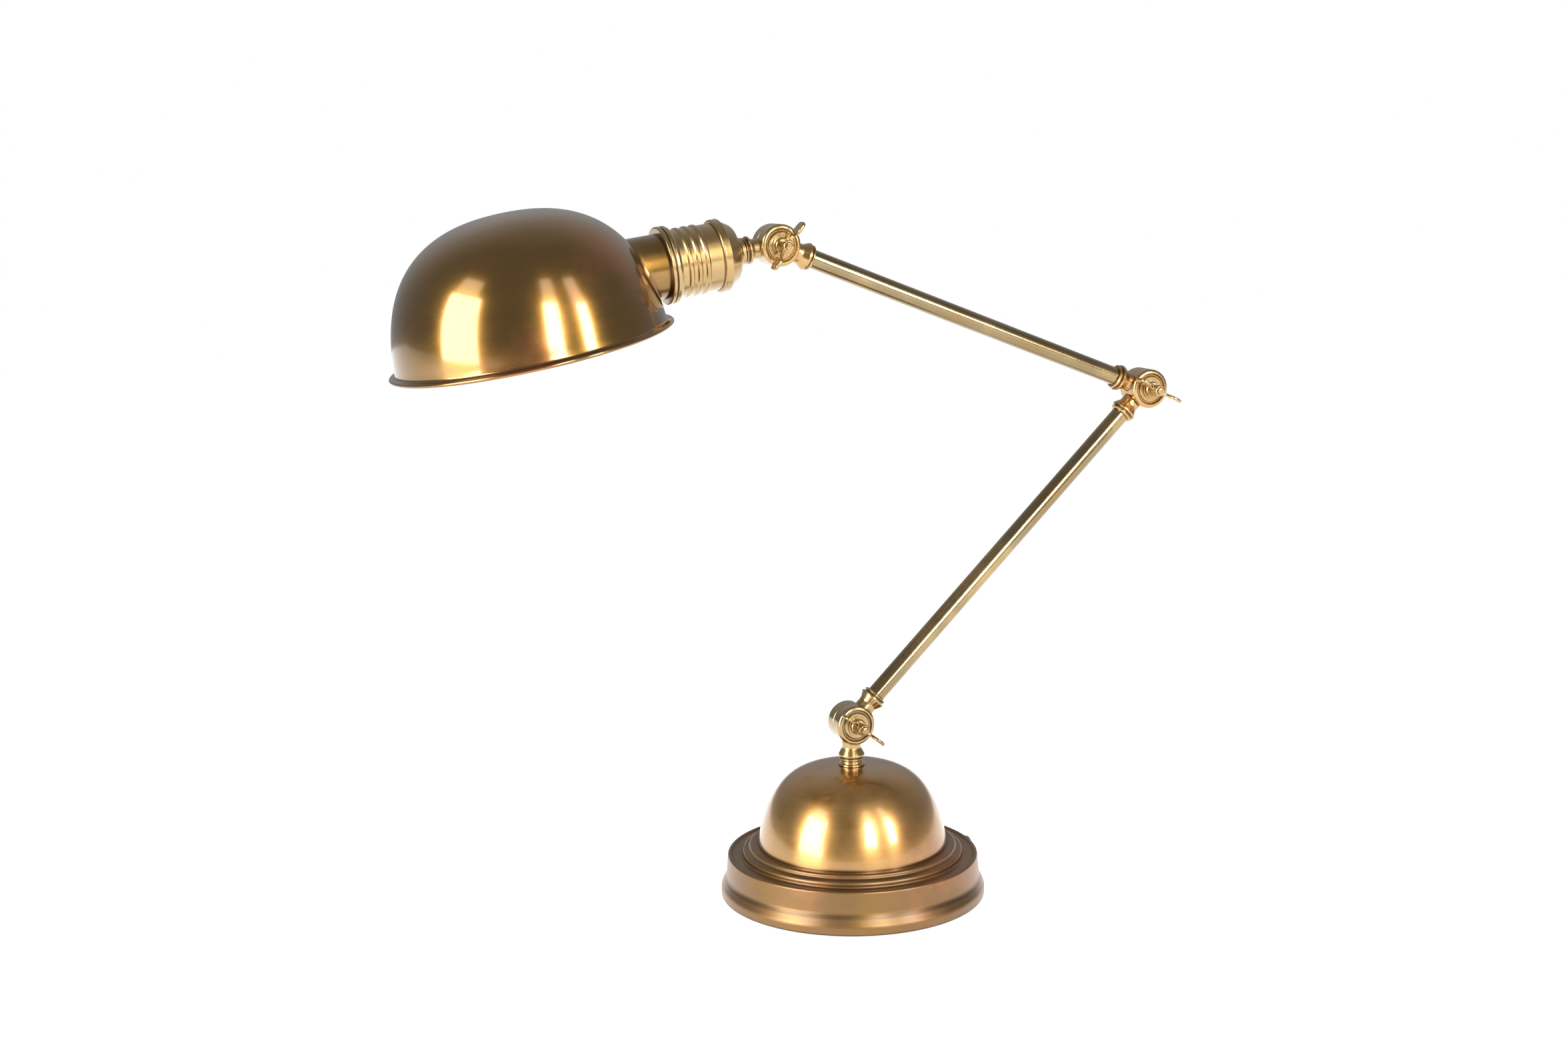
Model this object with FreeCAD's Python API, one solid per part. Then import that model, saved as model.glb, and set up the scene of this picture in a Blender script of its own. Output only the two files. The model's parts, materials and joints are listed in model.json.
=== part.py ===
import FreeCAD, Part
import math
import os
from FreeCAD import Vector

# Dome shade desk lamp in antique brass, millimetres, +Z up.
# The origin is the middle of the underside. Both arms lie in the XZ plane, the three
# hinges turn about Y, the shade reaches towards -X and the wing nuts face -Y.

# ---------------------------------------------------------------- driving dimensions

# base: widths step inwards from the upright wall, heights climb from the table
SHEET = 1.0                   # wall of every spun brass part of the base
SKIRT_RADIUS = 82.3           # top of the upright wall
SKIRT_DRAFT = 1.2             # the wall's foot stands this much further out
FOOT_FLARE = 4.7              # the foot's edge, beyond the top of the wall
LEDGE_WIDTH = 9.8             # from the wall in to the first step
STEP_WIDTH = 4.4
DOME_MARGIN = 5.8             # from the second step's edge in to the dome's widest level
PAD_THICKNESS = 2.0
PAD_INSET = 3.6
PLATE_THICKNESS = 1.2
PLATE_INSET = 3.2
FOOT_LIFT = 1.0               # the foot's edge above the table
FLARE_BOTTOM = 6.8
FLARE_TOP = 13.6              # height where the flare meets the upright wall
LEDGE_HEIGHT = 27.2           # flat ledge inside the rounded top edge of the skirt
LEDGE_LIP = 1.3               # the top edge stands this far above the ledge
STEP_1_RISE = 4.5
STEP_2_RISE = 3.0
DOME_RISE = 52.4
DOME_SINK = 5.4               # its widest level lies this far below its foot
DOME_FLANK = 3.7              # higher: steeper side
DOME_CROWN = 1.75             # higher: flatter shoulder
SPIGOT_HEIGHT = 3.5           # upturned edge that centres the dome on the skirt
DOME_ARCS = 5                 # in a dome's outline, below its round crown
DOME_CROWN_FROM = math.radians(84)
WEIGHT_GAP = 1.8              # cast weight to the wall
WEIGHT_FLOOR = 10.6           # thickness of the cast weight under its pocket
WEIGHT_RING = 19.5            # width of the thick ring round the pocket
NUT_POCKET_RADIUS = 17.0
NUT_POCKET_DEPTH = 7.0
STEM_RADIUS = 5.0             # threaded stem and nipple, 10 mm
STEM_BORE = 3.5
STEM_NUT_FLATS = 14.0
STEM_NUT_HEIGHT = 3.5
STEM_WASHER_THICKNESS = 1.5
PLATE_SCREW_INSET = 21.5      # from the weight's edge in to the screws
PLATE_SCREW_RADIUS = 2.0
PLATE_SCREW_GRIP = 8.0        # depth in the weight
PLATE_SCREWS = 3
INLET_HEIGHT = 20.6           # cable inlet in the skirt, on the side away from the shade
INLET_BORE = 3.3
INLET_SHANK = 5.0
INLET_FLANGE = 6.6
INLET_SLOT = 13.0             # width of the slot for the cable in the weight
NECK_RING_HEIGHT = 3.8

# arms
LOWER_ARM_LENGTH = 300.4      # hinge to hinge
LOWER_ARM_ANGLE = 44.1        # degrees above +X
UPPER_ARM_LENGTH = 283.1
UPPER_ARM_ANGLE = 158.7
TUBE_RADIUS = 6.0
TUBE_WALL = 1.0
TUBE_SEAT = 7.0               # depth of tube, stem and nipple in a knuckle

# knuckles: two castings lie face to face on a pin
DISC_RADIUS = 13.1
DISC_DEPTH = 9.9              # from the mating plane to the rim's outer face
RIM_WIDTH = 2.7               # rounded rim of the outer face
FACE_GROOVE_WIDTH = 2.0       # between the rim and the raised middle
FACE_GROOVE_DEPTH = 1.2
BOSS_RISE = 0.2               # the raised middle stands this far above the rim
SHOULDER = 2.2                # rounding of the rim
DISC_WALL = 3.7               # outside of the cable chamber round the pin
CHAMBER_DEPTH = 5.2
CHANNEL_RADIUS = 3.0          # cable way through the neck
ARM_NECK = 11.5               # neck beyond the disc
ARM_FLARE = 4.3               # length of the cone below the lip
HEAD_NECK = 9.5
HEAD_FLARE = 1.8
ROOT_RADIUS = TUBE_RADIUS + 0.4       # neck next to the disc
LIP_RADIUS = TUBE_RADIUS + 2.75       # widest part of the neck
END_BEAD_RADIUS = TUBE_RADIUS + 2.1
GROOVE_RADIUS = TUBE_RADIUS + 1.2

# pins, washers, wing nuts
PIN_RADIUS = 2.5
PIN_SLEEVE = PIN_RADIUS + 2.1         # post round the pin in the cable chamber
PIN_HEAD_RADIUS = PIN_RADIUS + 2.7
PIN_HEAD_HEIGHT = 3.0
SLOT_WIDTH = 1.2
WASHER_RADIUS = PIN_RADIUS + 3.8
WASHER_THICKNESS = 1.0
NUT_BASE_RADIUS = PIN_RADIUS + 2.6
NUT_TOP_RADIUS = PIN_RADIUS + 1.1
NUT_HEIGHT = 11.4
WING_SPAN = 35.0
WING_THICKNESS = 2.2
WING_EDGE = 0.5
WING_WIDTH = 8.8              # of an ear, measured along the pin
WING_RISE = 5.6               # foot of the ears above the foot of the nut
STUD_END = 1.6                # pin standing out of the wing nut
BASE_NUT_ANGLE = -38.8        # direction of one wing, degrees above +X
ELBOW_NUT_ANGLE = -29.0
HEAD_NUT_ANGLE = 54.9

# lampholder: stations run from the cap's seat on the head's knuckle, towards the shade
HEAD_PITCH = 8.2              # degrees the head's axis falls towards the shade
THREAD_RADIUS = 14.3          # outside of the threaded contact shell, 27 mm cap
THREAD_WALL = 0.6
LEAF_REACH = 6.0              # of the contact leaf, from the holder's axis
THREAD_DEPTH = 20.3           # tip of the bulb cap to the mouth of the holder
HOLDER_WALL = 3.3
HOLDER_STEM = 12.0            # radius of the holder behind its flange
SLEEVE_GAP = 2.0              # holder to the inside of the sleeve
SLEEVE_WALL = 1.0
SLEEVE_LENGTH = 30.4          # beyond the cap's rim
CAP_NECK_RADIUS = 8.4
CAP_NECK_LENGTH = 2.9
CAP_LENGTH = 14.3             # seat to the rim
CAP_RIM_WIDTH = 5.0
CAP_WALL = 1.4
RIBS = 3
RIB_PITCH = 5.5
RIB_HEIGHT = 1.0
RIB_WIDTH = 3.2
RIB_MARGIN = 5.9              # middle of the last rib to the double ring
RING_LAP = 2.9                # double ring on the sleeve, and beyond it
RING_REACH = 4.2
RING_STAND = 3.5              # it stands this far out from the sleeve
BULB_CAP_GAP = 0.6            # in the threaded shell
BULB_CAP_LENGTH = 24.8
BULB_RADIUS = 27.5
BULB_LENGTH = 101.0
GLASS_WALL = 1.0

# shade
SHADE_RADIUS = 83.7           # of its side, projected down to its widest level
SHADE_HEIGHT = 83.7
SHADE_SINK = 30.0
SHADE_FLANK = 2.4
SHADE_CROWN = 3.18
SHADE_WALL = 1.0
SHADE_ENTRY = 36.0            # height of the head's axis over the rim, at the shade's own axis
SHADE_TILT = 11.2             # degrees the shade leans towards -X
SHADE_GAP = 6.0               # double ring to the side of the shade
RIM_FLARE = 3.4               # the rolled rim stands out from the side
ROLL_RADIUS = 1.25
NECK_INSIDE = 1.5             # the neck stands this far inside the shade

# clearances
FIT = 0.04                    # tube, stem or pin in its bore
FACE_GAP = 0.05               # each mating face stands back from the middle plane
KNUCKLE_GAP = 0.35            # neck to the rim of the opposite disc
SEAT_GAP = 0.1                # parts that sit on one another
ARC_FROM = 2.0                # a smaller rounding of a corner is drawn as two flats
FLAT_UNDER = 1.0              # and a smaller one than this as one flat
EPS = 0.5                     # cutters run past the faces that they open

ORIGIN = Vector(0, 0, 0)
X_AXIS = Vector(1, 0, 0)
Y_AXIS = Vector(0, 1, 0)
Z_AXIS = Vector(0, 0, 1)

BACK = 1                      # the +Y half of a knuckle
FRONT = -1                    # the -Y half, on the wing nut's side


# ---------------------------------------------------------------- outlines and solids

def corner_arc(before, corner, after, radius):
    """The arc that rounds a corner: its start, middle and end."""
    to_before = (before - corner).normalize()
    to_after = (after - corner).normalize()
    half = to_before.getAngle(to_after) / 2
    bisector = (to_before + to_after).normalize()
    reach = radius / math.tan(half)
    centre = corner + bisector * (radius / math.sin(half))
    return (corner + to_before * reach, centre - bisector * radius, corner + to_after * reach)


def rounding_edges(start, middle, end, radius):
    if radius >= ARC_FROM:
        return [Part.Arc(start, middle, end).toShape()]
    stops = [start, end] if radius < FLAT_UNDER else [start, middle, end]
    return [Part.LineSegment(a, b).toShape() for a, b in zip(stops, stops[1:])]


def outline_edges(corners, closed):
    """Lines through corners (x, z) or (x, z, rounding) in the XZ plane, with arcs or flats."""
    points = [Vector(c[0], 0, c[1]) for c in corners]
    edges = []
    first = last = None
    for i, corner in enumerate(corners):
        inner = closed or 0 < i < len(corners) - 1
        if len(corner) == 3 and inner:
            after = points[(i + 1) % len(points)]
            start, middle, end = corner_arc(points[i - 1], points[i], after, corner[2])
        else:
            start = end = points[i]
            middle = None
        if last is not None and (start - last).Length > 1e-6:
            edges.append(Part.LineSegment(last, start).toShape())
        if middle is not None:
            edges.extend(rounding_edges(start, middle, end, corner[2]))
        if first is None:
            first = start
        last = end
    if closed and (first - last).Length > 1e-6:
        edges.append(Part.LineSegment(last, first).toShape())
    return edges


def outward(solid):
    if solid.Volume < 0:
        solid.reverse()
    return solid


def spun(corners):
    """A solid of revolution about Z, from a closed outline of (radius, height) corners."""
    return spun_face(Part.Face(Part.Wire(outline_edges(corners, True))))


def spun_face(face):
    return outward(face.revolve(ORIGIN, Z_AXIS, 360))


def spun_sheet(corners, wall):
    """A sheet of revolution: the corners are its outside, from its foot up."""
    band = Part.Wire(outline_edges(corners, False)).makeOffset2D(wall, 0, True, True, False)
    return spun_face(band)


def ring(inner, outer, bottom, top):
    return spun([(inner, bottom), (outer, bottom), (outer, top), (inner, top)])


def rod(radius, bottom, top):
    return Part.makeCylinder(radius, top - bottom, Vector(0, 0, bottom))


def hexagon(flats, bottom, top):
    corners = [Vector(0, flats / math.sqrt(3), bottom)]
    for i in range(6):
        turn = math.radians(60 * (i + 1))
        side = flats / math.sqrt(3)
        corners.append(Vector(side * math.sin(turn), side * math.cos(turn), bottom))
    return outward(Part.Face(Part.makePolygon(corners)).extrude(Vector(0, 0, top - bottom)))


def hex_nut(bottom, top):
    """A nut for the threaded stem or nipple."""
    return hexagon(STEM_NUT_FLATS, bottom, top).cut(rod(STEM_RADIUS + FIT, bottom - EPS, top + EPS))


def along(shape, start, angle):
    """Turns a shape that is built up the Z axis to point at an angle above +X."""
    placed = shape.copy()
    placed.rotate(ORIGIN, Y_AXIS, 90 - angle)
    placed.translate(start)
    return placed


def direction(angle):
    return Vector(math.cos(math.radians(angle)), 0, math.sin(math.radians(angle)))


def sideways(shape, side):
    """Turns a shape that is built up the Z axis onto the hinge axis, to one side."""
    turned = shape.copy()
    turned.rotate(ORIGIN, X_AXIS, -90 * side)
    return turned


# ---------------------------------------------------------------- domes

class Dome:
    """A spun dome: a flattened round section whose widest level lies below its foot."""

    def __init__(self, radius, foot, height, sink, flank, crown):
        self.radius = radius
        self.foot = foot
        self.base = foot - sink
        self.rise = height + sink
        self.flank = flank
        self.crown = crown

    def inset(self, wall):
        smaller = Dome(self.radius - wall, self.foot, 0, 0, self.flank, self.crown)
        smaller.base = self.base
        smaller.rise = self.rise - wall
        return smaller

    def angle_at(self, height):
        share = (height - self.base) / self.rise
        return math.asin(share ** (self.crown / 2))

    def radius_at(self, height):
        return self.radius * math.cos(self.angle_at(height)) ** (2 / self.flank)

    def point(self, angle):
        radius = self.radius * max(math.cos(angle), 0) ** (2 / self.flank)
        return Vector(radius, 0, self.base + self.rise * math.sin(angle) ** (2 / self.crown))

    def solid(self, bottom):
        """Everything under the dome's surface down to a level: a run of arcs and a round crown."""
        start = self.angle_at(bottom)
        spans = 2 * DOME_ARCS
        points = [self.point(start + (DOME_CROWN_FROM - start) * i / spans) for i in range(spans + 1)]
        top = Vector(0, 0, self.base + self.rise)
        drop = top.z - points[-1].z
        crown_radius = (points[-1].x ** 2 + drop ** 2) / (2 * drop)
        lean = math.asin(points[-1].x / crown_radius) / 2
        crown_middle = top + Vector(math.sin(lean), 0, math.cos(lean) - 1) * crown_radius
        middle = Vector(0, 0, bottom)
        edges = [Part.Arc(*points[i:i + 3]).toShape() for i in range(0, spans, 2)]
        edges.append(Part.Arc(points[-1], crown_middle, top).toShape())
        edges.append(Part.LineSegment(top, middle).toShape())
        edges.append(Part.LineSegment(middle, points[0]).toShape())
        return spun_face(Part.Face(Part.Wire(edges)))


# ---------------------------------------------------------------- base

FOOT_RADIUS = SKIRT_RADIUS + FOOT_FLARE
STEP_1_RADIUS = SKIRT_RADIUS - LEDGE_WIDTH
STEP_2_RADIUS = STEP_1_RADIUS - STEP_WIDTH
LIP_HEIGHT = LEDGE_HEIGHT + LEDGE_LIP
STEP_1_HEIGHT = LEDGE_HEIGHT + STEP_1_RISE
STEP_2_HEIGHT = STEP_1_HEIGHT + STEP_2_RISE
DOME_TOP = STEP_2_HEIGHT + DOME_RISE
DOME = Dome(STEP_2_RADIUS - DOME_MARGIN, STEP_2_HEIGHT, DOME_RISE, DOME_SINK, DOME_FLANK, DOME_CROWN)
NECK_TOP = DOME_TOP + NECK_RING_HEIGHT
WEIGHT_BOTTOM = PAD_THICKNESS + PLATE_THICKNESS
WEIGHT_TOP = LEDGE_HEIGHT - SHEET
WEIGHT_RADIUS = SKIRT_RADIUS - SHEET - WEIGHT_GAP
WEIGHT_FLOOR_TOP = WEIGHT_BOTTOM + WEIGHT_FLOOR
NUT_POCKET_TOP = WEIGHT_BOTTOM + NUT_POCKET_DEPTH


def base_skirt():
    spigot_top = STEP_2_HEIGHT + SPIGOT_HEIGHT
    spigot = DOME.inset(SHEET).radius_at(spigot_top) - SEAT_GAP
    skirt = spun_sheet([
        (FOOT_RADIUS - 2.4, FOOT_LIFT),
        (FOOT_RADIUS, FOOT_LIFT, 1.3),
        (FOOT_RADIUS, FLARE_BOTTOM, 5.0),
        (SKIRT_RADIUS + SKIRT_DRAFT, FLARE_TOP, 8.0),
        (SKIRT_RADIUS, LIP_HEIGHT, 1.5),
        (SKIRT_RADIUS - 2.2, LIP_HEIGHT, 0.7),
        (SKIRT_RADIUS - 3.2, LEDGE_HEIGHT, 1.2),
        (STEP_1_RADIUS, LEDGE_HEIGHT, 1.3),
        (STEP_1_RADIUS, STEP_1_HEIGHT, 2.4),
        (STEP_2_RADIUS, STEP_1_HEIGHT, 1.2),
        (STEP_2_RADIUS, STEP_2_HEIGHT, 1.7),
        (spigot, STEP_2_HEIGHT),
        (spigot, spigot_top),
    ], SHEET)
    hole = rod(INLET_SHANK + FIT, SKIRT_RADIUS - 6, FOOT_RADIUS + 2)
    return skirt.cut(at_inlet(hole))


def base_dome():
    shell = DOME.solid(STEP_2_HEIGHT).cut(DOME.inset(SHEET).solid(STEP_2_HEIGHT - EPS))
    return shell.cut(rod(STEM_RADIUS + FIT, DOME_TOP - 10, DOME_TOP + EPS))


def base_weight():
    pocket = WEIGHT_RADIUS - WEIGHT_RING
    weight = spun([
        (STEM_RADIUS + FIT, NUT_POCKET_TOP),
        (NUT_POCKET_RADIUS, NUT_POCKET_TOP, 1.0),
        (NUT_POCKET_RADIUS, WEIGHT_BOTTOM, 0.5),
        (WEIGHT_RADIUS, WEIGHT_BOTTOM, 1.0),
        (WEIGHT_RADIUS, WEIGHT_TOP, 1.2),
        (pocket + 4, WEIGHT_TOP, 1.5),
        (pocket, WEIGHT_FLOOR_TOP, 3.0),
        (STEM_RADIUS + FIT, WEIGHT_FLOOR_TOP),
    ])
    slot = Part.makeBox(WEIGHT_RADIUS, INLET_SLOT, WEIGHT_TOP,
                        Vector(pocket - 10, -INLET_SLOT / 2, WEIGHT_FLOOR_TOP))
    weight = weight.cut(slot)
    for place in screw_places():
        hole = rod(PLATE_SCREW_RADIUS + FIT, 0, WEIGHT_BOTTOM + PLATE_SCREW_GRIP + 1)
        weight = weight.cut(hole.translated(place))
    return weight


def screw_places():
    circle = WEIGHT_RADIUS - PLATE_SCREW_INSET
    turns = [math.radians(60 + 360 * i / PLATE_SCREWS) for i in range(PLATE_SCREWS)]
    return [Vector(circle * math.cos(t), circle * math.sin(t), 0) for t in turns]


def plate_screw(grow=0.0):
    """A countersunk screw, its head flush with the plate's underside."""
    head = PLATE_SCREW_RADIUS * 2 - 0.2
    end = WEIGHT_BOTTOM + PLATE_SCREW_GRIP
    return spun([
        (0, PAD_THICKNESS),
        (head + grow, PAD_THICKNESS),
        (PLATE_SCREW_RADIUS + grow, WEIGHT_BOTTOM - 0.1),
        (PLATE_SCREW_RADIUS + grow, end),
        (0, end),
    ])


def plate_screws():
    return Part.makeCompound([plate_screw().translated(p) for p in screw_places()])


def base_plate():
    plate = rod(FOOT_RADIUS - PLATE_INSET, PAD_THICKNESS, WEIGHT_BOTTOM)
    for place in screw_places():
        plate = plate.cut(plate_screw(FIT).translated(place))
    return plate


def felt_pad():
    return rod(FOOT_RADIUS - PAD_INSET, 0, PAD_THICKNESS)


def stem_washer():
    bottom = NUT_POCKET_TOP - STEM_WASHER_THICKNESS
    return ring(STEM_RADIUS + FIT, STEM_RADIUS * 2.2, bottom, NUT_POCKET_TOP)


def stem_nut():
    top = NUT_POCKET_TOP - STEM_WASHER_THICKNESS
    return hex_nut(top - STEM_NUT_HEIGHT, top)


def threaded_stem():
    return ring(STEM_BORE, STEM_RADIUS, WEIGHT_BOTTOM + 1.0, NECK_TOP + TUBE_SEAT - SEAT_GAP)


def neck_ring():
    """The turned ring between the dome and the first knuckle."""
    return spun([
        (STEM_RADIUS + FIT, DOME_TOP + FACE_GAP),
        (LIP_RADIUS - 0.3, DOME_TOP + FACE_GAP),
        (LIP_RADIUS - 0.3, DOME_TOP + 1.3, 0.5),
        (GROOVE_RADIUS, DOME_TOP + 1.8, 0.4),
        (GROOVE_RADIUS, NECK_TOP),
        (STEM_RADIUS + FIT, NECK_TOP),
    ])


def at_inlet(shape):
    return along(shape, Vector(0, 0, INLET_HEIGHT), 0)


def cord_grommet():
    """The flanged bush of the cable inlet, pushed through the skirt's sloping wall."""
    slope = SKIRT_DRAFT / (LIP_HEIGHT - FLARE_TOP)
    face = SKIRT_RADIUS + slope * (LIP_HEIGHT - INLET_HEIGHT + INLET_FLANGE) + FACE_GAP
    return at_inlet(spun([
        (INLET_BORE, face - 5.0),
        (INLET_SHANK, face - 5.0, 0.4),
        (INLET_SHANK, face),
        (INLET_FLANGE, face),
        (INLET_FLANGE, face + 1.9, 1.2),
        (INLET_BORE, face + 1.9, 0.6),
    ]))


# ---------------------------------------------------------------- knuckles

RING_RADIUS = DISC_RADIUS - RIM_WIDTH
BOSS_RADIUS = RING_RADIUS - FACE_GROOVE_WIDTH
BOSS_DEPTH = DISC_DEPTH + BOSS_RISE
CHAMBER_RADIUS = DISC_RADIUS - DISC_WALL
ARM_REACH = DISC_RADIUS + ARM_NECK
HEAD_REACH = DISC_RADIUS + HEAD_NECK


def knuckle_disc(side):
    """One half of a knuckle: a cup with a rounded rim and a raised middle, bored for the pin."""
    bore = PIN_RADIUS + FIT
    groove_floor = DISC_DEPTH - FACE_GROOVE_DEPTH
    disc = spun([
        (bore, FACE_GAP),
        (PIN_SLEEVE, FACE_GAP),
        (PIN_SLEEVE, CHAMBER_DEPTH, 0.5),
        (CHAMBER_RADIUS, CHAMBER_DEPTH, 0.8),
        (CHAMBER_RADIUS, FACE_GAP),
        (DISC_RADIUS, FACE_GAP, 0.3),
        (DISC_RADIUS, DISC_DEPTH, SHOULDER),
        (RING_RADIUS, DISC_DEPTH, 0.3),
        (RING_RADIUS - 0.5, groove_floor, 0.4),
        (BOSS_RADIUS + 0.4, groove_floor, 0.4),
        (BOSS_RADIUS, BOSS_DEPTH, 0.5),
        (bore, BOSS_DEPTH),
    ])
    return sideways(disc, side)


def knuckle_neck(side, reach, flare):
    """The flared neck up the Z axis, relieved where it passes the opposite disc."""
    lip = reach - 3.3
    neck = spun([
        (0, 0),
        (ROOT_RADIUS, 0),
        (ROOT_RADIUS, lip - flare - 0.6, 0.7 * flare),
        (LIP_RADIUS, lip - 0.6, 0.5),
        (LIP_RADIUS, lip + 0.6, 0.4),
        (GROOVE_RADIUS, lip + 1.0, 0.2),
        (GROOVE_RADIUS, lip + 1.5, 0.2),
        (END_BEAD_RADIUS, lip + 1.9, 0.5),
        (END_BEAD_RADIUS, reach, 0.7),
        (0, reach),
    ])
    clear = DISC_RADIUS + KNUCKLE_GAP
    opposite = sideways(rod(clear, -FACE_GAP, clear), -side)
    own_disc = sideways(rod(DISC_RADIUS - SHOULDER, -clear, DISC_DEPTH), side)
    return neck.cut(opposite).cut(own_disc)


def knuckle_half(side, seat_radius, reach=ARM_REACH, flare=ARM_FLARE):
    """A casting: disc, neck, cable way, and a seat in the neck's end for a tube or stem."""
    casting = knuckle_disc(side).fuse(knuckle_neck(side, reach, flare)).removeSplitter()
    channel = rod(CHANNEL_RADIUS, PIN_SLEEVE + 0.6, reach + EPS)
    seat = rod(seat_radius + FIT, reach - TUBE_SEAT, reach + EPS)
    return casting.cut(channel).cut(seat)


def hinge_pin():
    """A slotted, domed screw from the back, with its end standing out of the wing nut."""
    head_start = BOSS_DEPTH + WASHER_THICKNESS
    end = BOSS_DEPTH + WASHER_THICKNESS + NUT_HEIGHT + STUD_END
    pin = spun([
        (0, -end),
        (PIN_RADIUS, -end, 1.0),
        (PIN_RADIUS, head_start),
        (PIN_HEAD_RADIUS, head_start),
        (PIN_HEAD_RADIUS, head_start + PIN_HEAD_HEIGHT, 2.2),
        (0, head_start + PIN_HEAD_HEIGHT),
    ])
    slot = Part.makeBox(4 * PIN_HEAD_RADIUS, SLOT_WIDTH, PIN_HEAD_HEIGHT,
                        Vector(-2 * PIN_HEAD_RADIUS, -SLOT_WIDTH / 2, head_start + PIN_HEAD_HEIGHT / 2))
    return sideways(pin.cut(slot), BACK)


def pin_washers():
    washer = ring(PIN_RADIUS + FIT, WASHER_RADIUS, BOSS_DEPTH, BOSS_DEPTH + WASHER_THICKNESS)
    return Part.makeCompound([sideways(washer, BACK), sideways(washer, FRONT)])


def wing_nut():
    """A turned barrel with two flat ears. The ears lie along Z."""
    base = BOSS_DEPTH + WASHER_THICKNESS
    top = base + NUT_HEIGHT
    barrel = spun([
        (PIN_RADIUS + FIT, base),
        (NUT_BASE_RADIUS, base, 0.3),
        (NUT_BASE_RADIUS, base + 1.3, 0.4),
        (NUT_BASE_RADIUS - 0.7, base + 1.6),
        (NUT_TOP_RADIUS, top, 1.0),
        (PIN_RADIUS + FIT, top),
    ])
    tip = WING_SPAN / 2
    ear_foot = base + WING_RISE
    ear_top = ear_foot + WING_WIDTH
    ear = Part.Face(Part.Wire(outline_edges([
        (PIN_RADIUS + 0.6, base + 2.2),
        (tip - 8.0, base + 2.8, 4.0),
        (tip, ear_foot, 3.8),
        (tip, ear_top, 3.6),
        (tip - 7.4, ear_top, 3.2),
        (tip - 10.6, ear_foot + 3.4, 2.2),
        (PIN_RADIUS + 0.6, base + 7.6),
    ], True)))
    plate = outward(ear.extrude(Vector(0, WING_THICKNESS, 0)))
    plate.translate(Vector(0, -WING_THICKNESS / 2, 0))
    rims = [e for e in plate.Edges if abs(e.BoundBox.YLength) < 1e-6 and e.BoundBox.XMax > tip - 8]
    plate = plate.makeChamfer(WING_EDGE, rims)
    other = plate.copy()
    other.rotate(ORIGIN, Z_AXIS, 180)
    nut = barrel.fuse([plate, other]).cut(rod(PIN_RADIUS + FIT, base - EPS, top + EPS))
    nut.rotate(ORIGIN, X_AXIS, 90)
    nut.rotate(ORIGIN, Y_AXIS, -90)
    return nut


def arm_tube(length):
    end = ARM_REACH - TUBE_SEAT + SEAT_GAP
    return ring(TUBE_RADIUS - TUBE_WALL, TUBE_RADIUS, end, length - end)


# ---------------------------------------------------------------- lampholder

CAP_FLOOR = CAP_NECK_LENGTH + 2.2          # inside of the cap's back wall
CAP_NUT_HEIGHT = 3.0
CAP_END = CAP_LENGTH + CAP_RIM_WIDTH
HOLDER_SEAT = CAP_LENGTH + 1.2
HOLDER_RADIUS = THREAD_RADIUS + HOLDER_WALL
SLEEVE_INSIDE = HOLDER_RADIUS + SLEEVE_GAP
SLEEVE_RADIUS = SLEEVE_INSIDE + SLEEVE_WALL
SLEEVE_END = CAP_END + SLEEVE_LENGTH
SHADE_NECK_RADIUS = SLEEVE_INSIDE + 0.4
RING_START = SLEEVE_END - RING_LAP
RING_END = SLEEVE_END + RING_REACH
HOLDER_END = SLEEVE_END - 0.4
BULB_CAP_RADIUS = THREAD_RADIUS - THREAD_WALL - BULB_CAP_GAP
BULB_CAP_START = HOLDER_END - THREAD_DEPTH
GLASS_START = BULB_CAP_START + BULB_CAP_LENGTH
CONTACT_FLOOR = BULB_CAP_START - 2.1


def head_nipple():
    start = SEAT_GAP - TUBE_SEAT
    return ring(STEM_BORE, STEM_RADIUS, start, CAP_FLOOR + CAP_NUT_HEIGHT + 1.2)


def cap_nut():
    return hex_nut(CAP_FLOOR, CAP_FLOOR + CAP_NUT_HEIGHT)


def socket_cap():
    """The bell-shaped cap behind the lampholder, with a stout rim that takes the sleeve."""
    bell = SLEEVE_RADIUS + 0.8
    rim = SLEEVE_RADIUS + 2.0
    shoulder = CAP_NECK_LENGTH + 3.9
    return spun([
        (STEM_RADIUS + FIT, 0),
        (CAP_NECK_RADIUS, 0, 0.5),
        (CAP_NECK_RADIUS, CAP_NECK_LENGTH, 2.0),
        (bell - 4.2, shoulder, 4.5),
        (bell, CAP_LENGTH - 0.4, 0.3),
        (rim, CAP_LENGTH, 0.4),
        (rim, CAP_END, 1.2),
        (SLEEVE_RADIUS + FIT, CAP_END),
        (SLEEVE_RADIUS + FIT, HOLDER_SEAT),
        (SLEEVE_RADIUS - 2.0, HOLDER_SEAT),
        (bell - 4.2 - CAP_WALL * 1.2, shoulder + CAP_WALL, 3.2),
        (CAP_NECK_RADIUS + 1.0, CAP_FLOOR, 0.6),
        (STEM_RADIUS + FIT, CAP_FLOOR),
    ])


def socket_sleeve():
    """The brass sleeve, with rolled beads."""
    sleeve = ring(SLEEVE_INSIDE, SLEEVE_RADIUS, HOLDER_SEAT + SEAT_GAP, SLEEVE_END)
    buried = SLEEVE_INSIDE + 0.2
    for i in range(RIBS):
        middle = RING_START - RIB_MARGIN - RIB_PITCH * i
        bead = spun([
            (buried, middle - RIB_WIDTH / 2),
            (SLEEVE_RADIUS, middle - RIB_WIDTH / 2),
            (SLEEVE_RADIUS + RIB_HEIGHT, middle, 0.9),
            (SLEEVE_RADIUS, middle + RIB_WIDTH / 2),
            (buried, middle + RIB_WIDTH / 2),
        ])
        sleeve = sleeve.fuse(bead)
    return sleeve.removeSplitter()


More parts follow.
